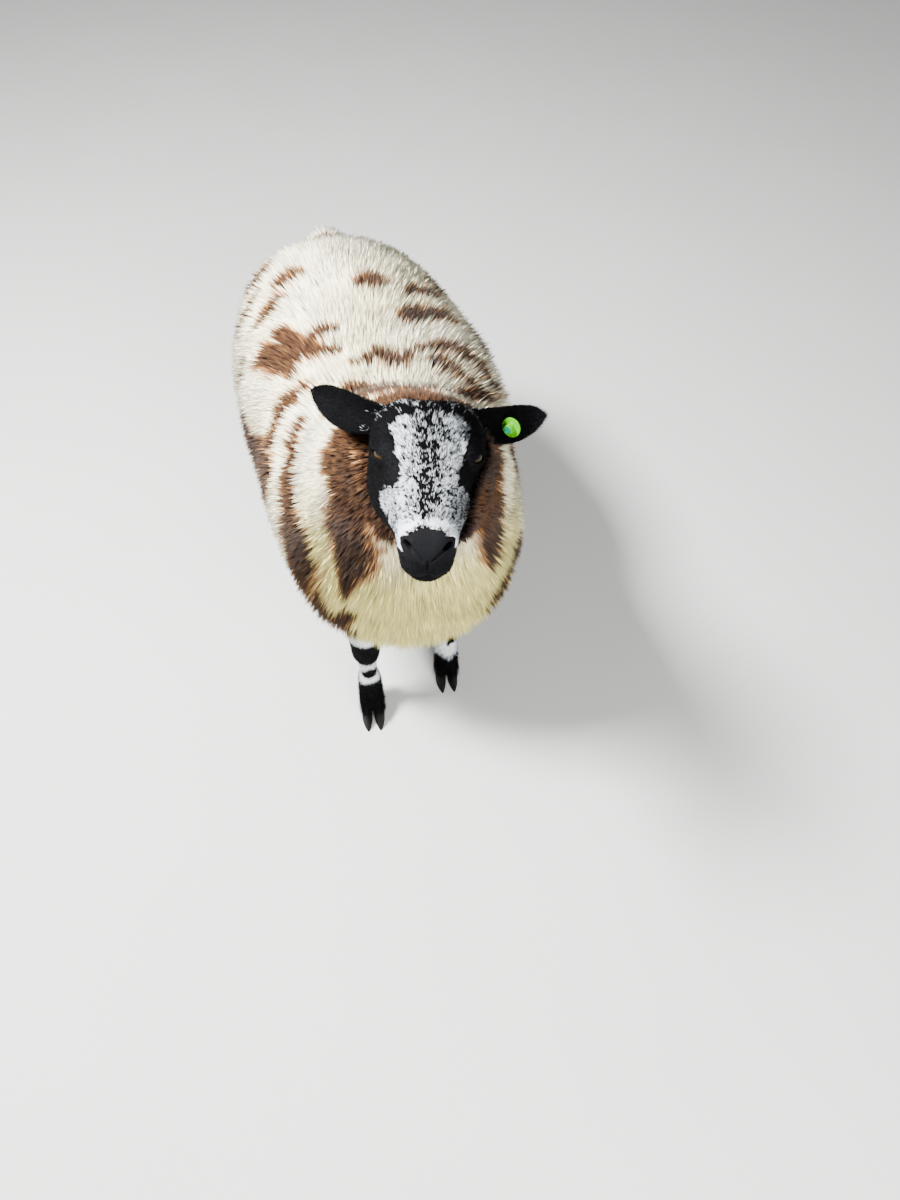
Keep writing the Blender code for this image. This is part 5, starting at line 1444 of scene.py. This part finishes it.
wet = {"Roughness": 0.3, "Specular IOR Level": 0.3, "Coat Weight": 0.3, "Coat Roughness": 0.05}
iris, tree, shader = new_material("eye", wet)
x = value_of(tree, "along_lids")
y = calc(tree, "SUBTRACT", value_of(tree, "up_lids"), PUPIL_RAISED_INTO_LID_SHADE)
wide, tall = (
    calc(tree, "POWER", calc(tree, "ABSOLUTE", calc(tree, "DIVIDE", place, half)), 3.0)
    for place, half in ((x, PUPIL_HALF_WIDTH), (y, PUPIL_HALF_HEIGHT))
)
pupil = spread_out(tree, calc(tree, "ADD", wide, tall), 1.25, 0.85)
out = calc(tree, "SQRT", calc(tree, "ADD", *(calc(tree, "MULTIPLY", place, place) for place in (x, y))))
flecks = blend(tree, noise(tree, 900.0, 3.0), IRIS_DARK, IRIS_LIGHT)
colour = blend(tree, spread_out(tree, out, 0.72 * IRIS_RADIUS, IRIS_RADIUS), flecks, RIM_COLOUR)
colour = blend(tree, pupil, colour, PUPIL_COLOUR)
tree.links.new(colour, shader.inputs["Base Color"])
for side, word in ((1, "left"), (-1, "right")):
    eyeball = ball_rings((EYE_RADIUS,) * 3, 40, 64)
    bulge = np.exp(-((np.hypot(eyeball[..., 0], eyeball[..., 1]) / BULGE_RADIUS) ** 4)) * (eyeball[..., 2] > 0)
    eyeball[..., 2] += BULGE_HEIGHT * bulge
    points, faces = closed(eyeball)
    mesh = make_mesh(f"eye_{word}_ball", moved(points, head_frame @ looking_frame(side)), faces)
    set_values(mesh, "along_lids", points[:, 0])
    set_values(mesh, "up_lids", points[:, 1])
    mesh.materials.append(iris)
    eye = place_object(f"eye_{word}_ball", mesh)
    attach(eye, "root")
    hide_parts(f"eye_{word}")


# The claws: two black horn shoes to a foot, ringed by growth and flat below. Each is drawn up from its sole to the
# edge of the hair, swelling between: the levels and swells are shares of the way up and of the outline there.
CLAW_SIDES = 44
CLAW_LEVELS = np.array([0.0, 0.0, 0.05, 0.2, 0.4, 0.6, 0.8, 0.93, 1.0, 1.0])
CLAW_SWELLS = np.array([0.94, 0.975, 1.0, 1.012, 1.015, 1.012, 1.0, 0.985, 0.95, 0.85])
HORN_DARK = (0.0015, 0.0014, 0.0013, 1)
HORN_LIGHT = (0.004, 0.0035, 0.003, 1)
HORN_WORN = (0.008, 0.0065, 0.005, 1)

horn, tree, shader = new_material("horn", {"Roughness": 0.6, "Specular IOR Level": 0.06})
where = add_node(tree, "ShaderNodeTexCoord").outputs["Object"]
wave = {"Vector": where, "Scale": 95.0, "Distortion": 2.5, "Detail": 2.0, "Detail Scale": 2.0}
rings_of_growth = add_node(tree, "ShaderNodeTexWave", wave, bands_direction="Z").outputs["Fac"]
ringed = blend(tree, rings_of_growth, HORN_DARK, HORN_LIGHT)
worn = blend(tree, spread_out(tree, noise(tree, 160.0, 3.0), 0.45, 0.7), ringed, HORN_WORN)
tree.links.new(worn, shader.inputs["Base Color"])
add_relief(tree, shader, rings_of_growth, 0.5, 0.0006)
for foot in FEET:
    foot_x, foot_y = FEET[foot][:2]
    for side, word in ((1, "left"), (-1, "right")):
        x, y = claw_outline(CLAW_HEEL, CLAW_TOE, CLAW_HALF_WIDTH, CLAW_SIDES)
        sole = np.stack([foot_x + side * CLAW_OFFSET + x, foot_y + y, np.zeros(CLAW_SIDES)], axis=-1) + PLACE
        share, swell = CLAW_LEVELS[:, None, None], CLAW_SWELLS[:, None, None]
        rings = sole * (1 - share) + coronet_ring(foot, side, CLAW_SIDES) * share
        middle = rings.mean(1, keepdims=True)
        rings = middle + (rings - middle) * np.concatenate([swell, swell, np.ones_like(swell)], axis=-1)
        claw = place_object(f"hoof_{foot}_{word}", make_mesh(f"hoof_{foot}_{word}", *closed(rings)))
        claw.data.materials.append(horn)
        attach(claw, "root")
        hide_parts(f"claw_{foot}_{word}")


# The ear tag: two round, bare plastic leaves on the left ear, joined by a stem that runs into a hollow boss, which
# a small cap closes. The front leaf is tilted towards the viewer.
TAG_ALONG_EAR = 0.575
TAG_ACROSS_EAR = -0.14
TAG_RADIUS = 0.0118
TAG_TILTS = (math.radians(-70), math.radians(20))
TAG_SHARP_FROM = math.radians(40)
TAG_LEAF = 0.0018
TAG_STEM_RADIUS = 0.0026
TAG_BOSS_RADIUS = 0.0056
TAG_BOSS_HEIGHT = 0.0100
TAG_CAP_RADIUS = 0.0044
TAG_CAP_HEIGHT = 0.0022
TAG_FRONT_CLEARANCE = 0.0112
TAG_BACK_CLEARANCE = 0.0012
TAG_LEAF_COLOUR = (0.050, 0.24, 0.0003, 1)
TAG_LEAF_DARK = (0.022, 0.12, 0.0003, 1)
TAG_CAP_COLOUR = (0.0002, 0.085, 0.034, 1)
TAG_CAP_DARK = (0.0003, 0.05, 0.024, 1)
TAG_BORE_RADIUS = 0.0030


def turned(profile, sides=56):
    """A profile of (radius, height) rows turned about z, as rings; its ends close on the axis."""
    profile = np.array(profile, float)
    x, y = (profile[:, 0:1] * wave(turns(sides)) for wave in (np.cos, np.sin))
    return np.stack([x, y, np.repeat(profile[:, 1:2], sides, axis=1)], axis=-1)


def plastic(name, colour, dark):
    """Moulded plastic: a little mottled, with fine scratches."""
    material, tree, shader = new_material(name, {"Roughness": 0.5, "Specular IOR Level": 0.04})
    mottle = spread_out(tree, noise(tree, 240.0, 4.0), 0.35, 0.75)
    tree.links.new(blend(tree, mottle, colour, dark), shader.inputs["Base Color"])
    add_relief(tree, shader, noise(tree, 1400.0, 2.0), 0.15, 0.0002)
    return material


leaf_plastic = plastic("tag_leaf", TAG_LEAF_COLOUR, TAG_LEAF_DARK)
cap_plastic = plastic("tag_cap", TAG_CAP_COLOUR, TAG_CAP_DARK)
seat = ear_leaf(np.array([TAG_ALONG_EAR]), np.array([TAG_ACROSS_EAR]), 1, 0.0)[0]
back_frame = head_frame @ ear_frame(1) @ Matrix.Translation(seat)
front_frame = (
    back_frame
    @ Matrix.Translation((0, 0, TAG_FRONT_CLEARANCE + 0.5 * EAR_THICKNESS))
    @ Matrix.Rotation(TAG_TILTS[0], 4, "Y")
    @ Matrix.Rotation(TAG_TILTS[1], 4, "X")
)
boss = TAG_BOSS_HEIGHT
front_profile = (
    (TAG_BORE_RADIUS, 0.0), (TAG_RADIUS - 0.0006, 0.0), (TAG_RADIUS - 0.0001, 0.0004), (TAG_RADIUS, 0.0009),
    (TAG_RADIUS - 0.0001, TAG_LEAF - 0.0004), (TAG_RADIUS - 0.0006, TAG_LEAF), (TAG_RADIUS - 0.0014, TAG_LEAF),
    (TAG_RADIUS - 0.0018, TAG_LEAF - 0.0003), (TAG_BOSS_RADIUS + 0.0016, TAG_LEAF - 0.0003),
    (TAG_BOSS_RADIUS + 0.0006, TAG_LEAF), (TAG_BOSS_RADIUS, TAG_LEAF + 0.0008),
    (TAG_BOSS_RADIUS - 0.0003, boss - 0.0006), (TAG_BOSS_RADIUS - 0.0007, boss), (TAG_CAP_RADIUS + 0.0003, boss),
    (TAG_CAP_RADIUS + 0.0003, boss - TAG_CAP_HEIGHT), (TAG_BORE_RADIUS, boss - TAG_CAP_HEIGHT),
)
cap_profile = (
    (TAG_CAP_RADIUS * 0.5, boss - TAG_CAP_HEIGHT + 0.0003), (TAG_CAP_RADIUS, boss - TAG_CAP_HEIGHT + 0.0003),
    (TAG_CAP_RADIUS, boss), (TAG_CAP_RADIUS - 0.0005, boss + 0.0004), (TAG_CAP_RADIUS * 0.45, boss + 0.0004),
    (TAG_CAP_RADIUS * 0.35, boss + 0.0001), (TAG_CAP_RADIUS * 0.1, boss + 0.0001),
)
back = -TAG_BACK_CLEARANCE - 0.5 * EAR_THICKNESS
back_profile = (
    (0.0010, back - TAG_LEAF - 0.0006), (0.0040, back - TAG_LEAF - 0.0004), (0.0060, back - TAG_LEAF),
    (TAG_RADIUS - 0.0006, back - TAG_LEAF), (TAG_RADIUS - 0.0001, back - TAG_LEAF + 0.0004),
    (TAG_RADIUS - 0.0001, back - 0.0004), (TAG_RADIUS - 0.0006, back), (TAG_STEM_RADIUS + 0.0012, back),
    (TAG_STEM_RADIUS, back + 0.0010), (TAG_STEM_RADIUS, TAG_FRONT_CLEARANCE),
    (TAG_STEM_RADIUS - 0.0012, TAG_FRONT_CLEARANCE + 0.0010),
)
for name, profile, tag_frame, material, slot in (
    ("ear_tag_front", front_profile, front_frame, leaf_plastic, "tag_leaf"),
    ("ear_tag_cap", cap_profile, front_frame, cap_plastic, "tag_cap"),
    ("ear_tag_back", back_profile, back_frame, leaf_plastic, "tag_leaf"),
):
    rings = turned(profile)
    if name == "ear_tag_front":
        rings = np.concatenate([rings, rings[:1]])
    points, faces = closed(moved(rings, tag_frame))
    piece = place_object(f"{name}_plastic", make_mesh(f"{name}_plastic", points, faces))
    edges = piece.modifiers.new("edges", "WEIGHTED_NORMAL")
    edges.keep_sharp = True
    piece.data.set_sharp_from_angle(angle=TAG_SHARP_FROM)
    apply_modifiers(piece)
    piece.data.materials.clear()
    piece.data.materials.append(material)
    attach(piece, "root")
    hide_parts(name)
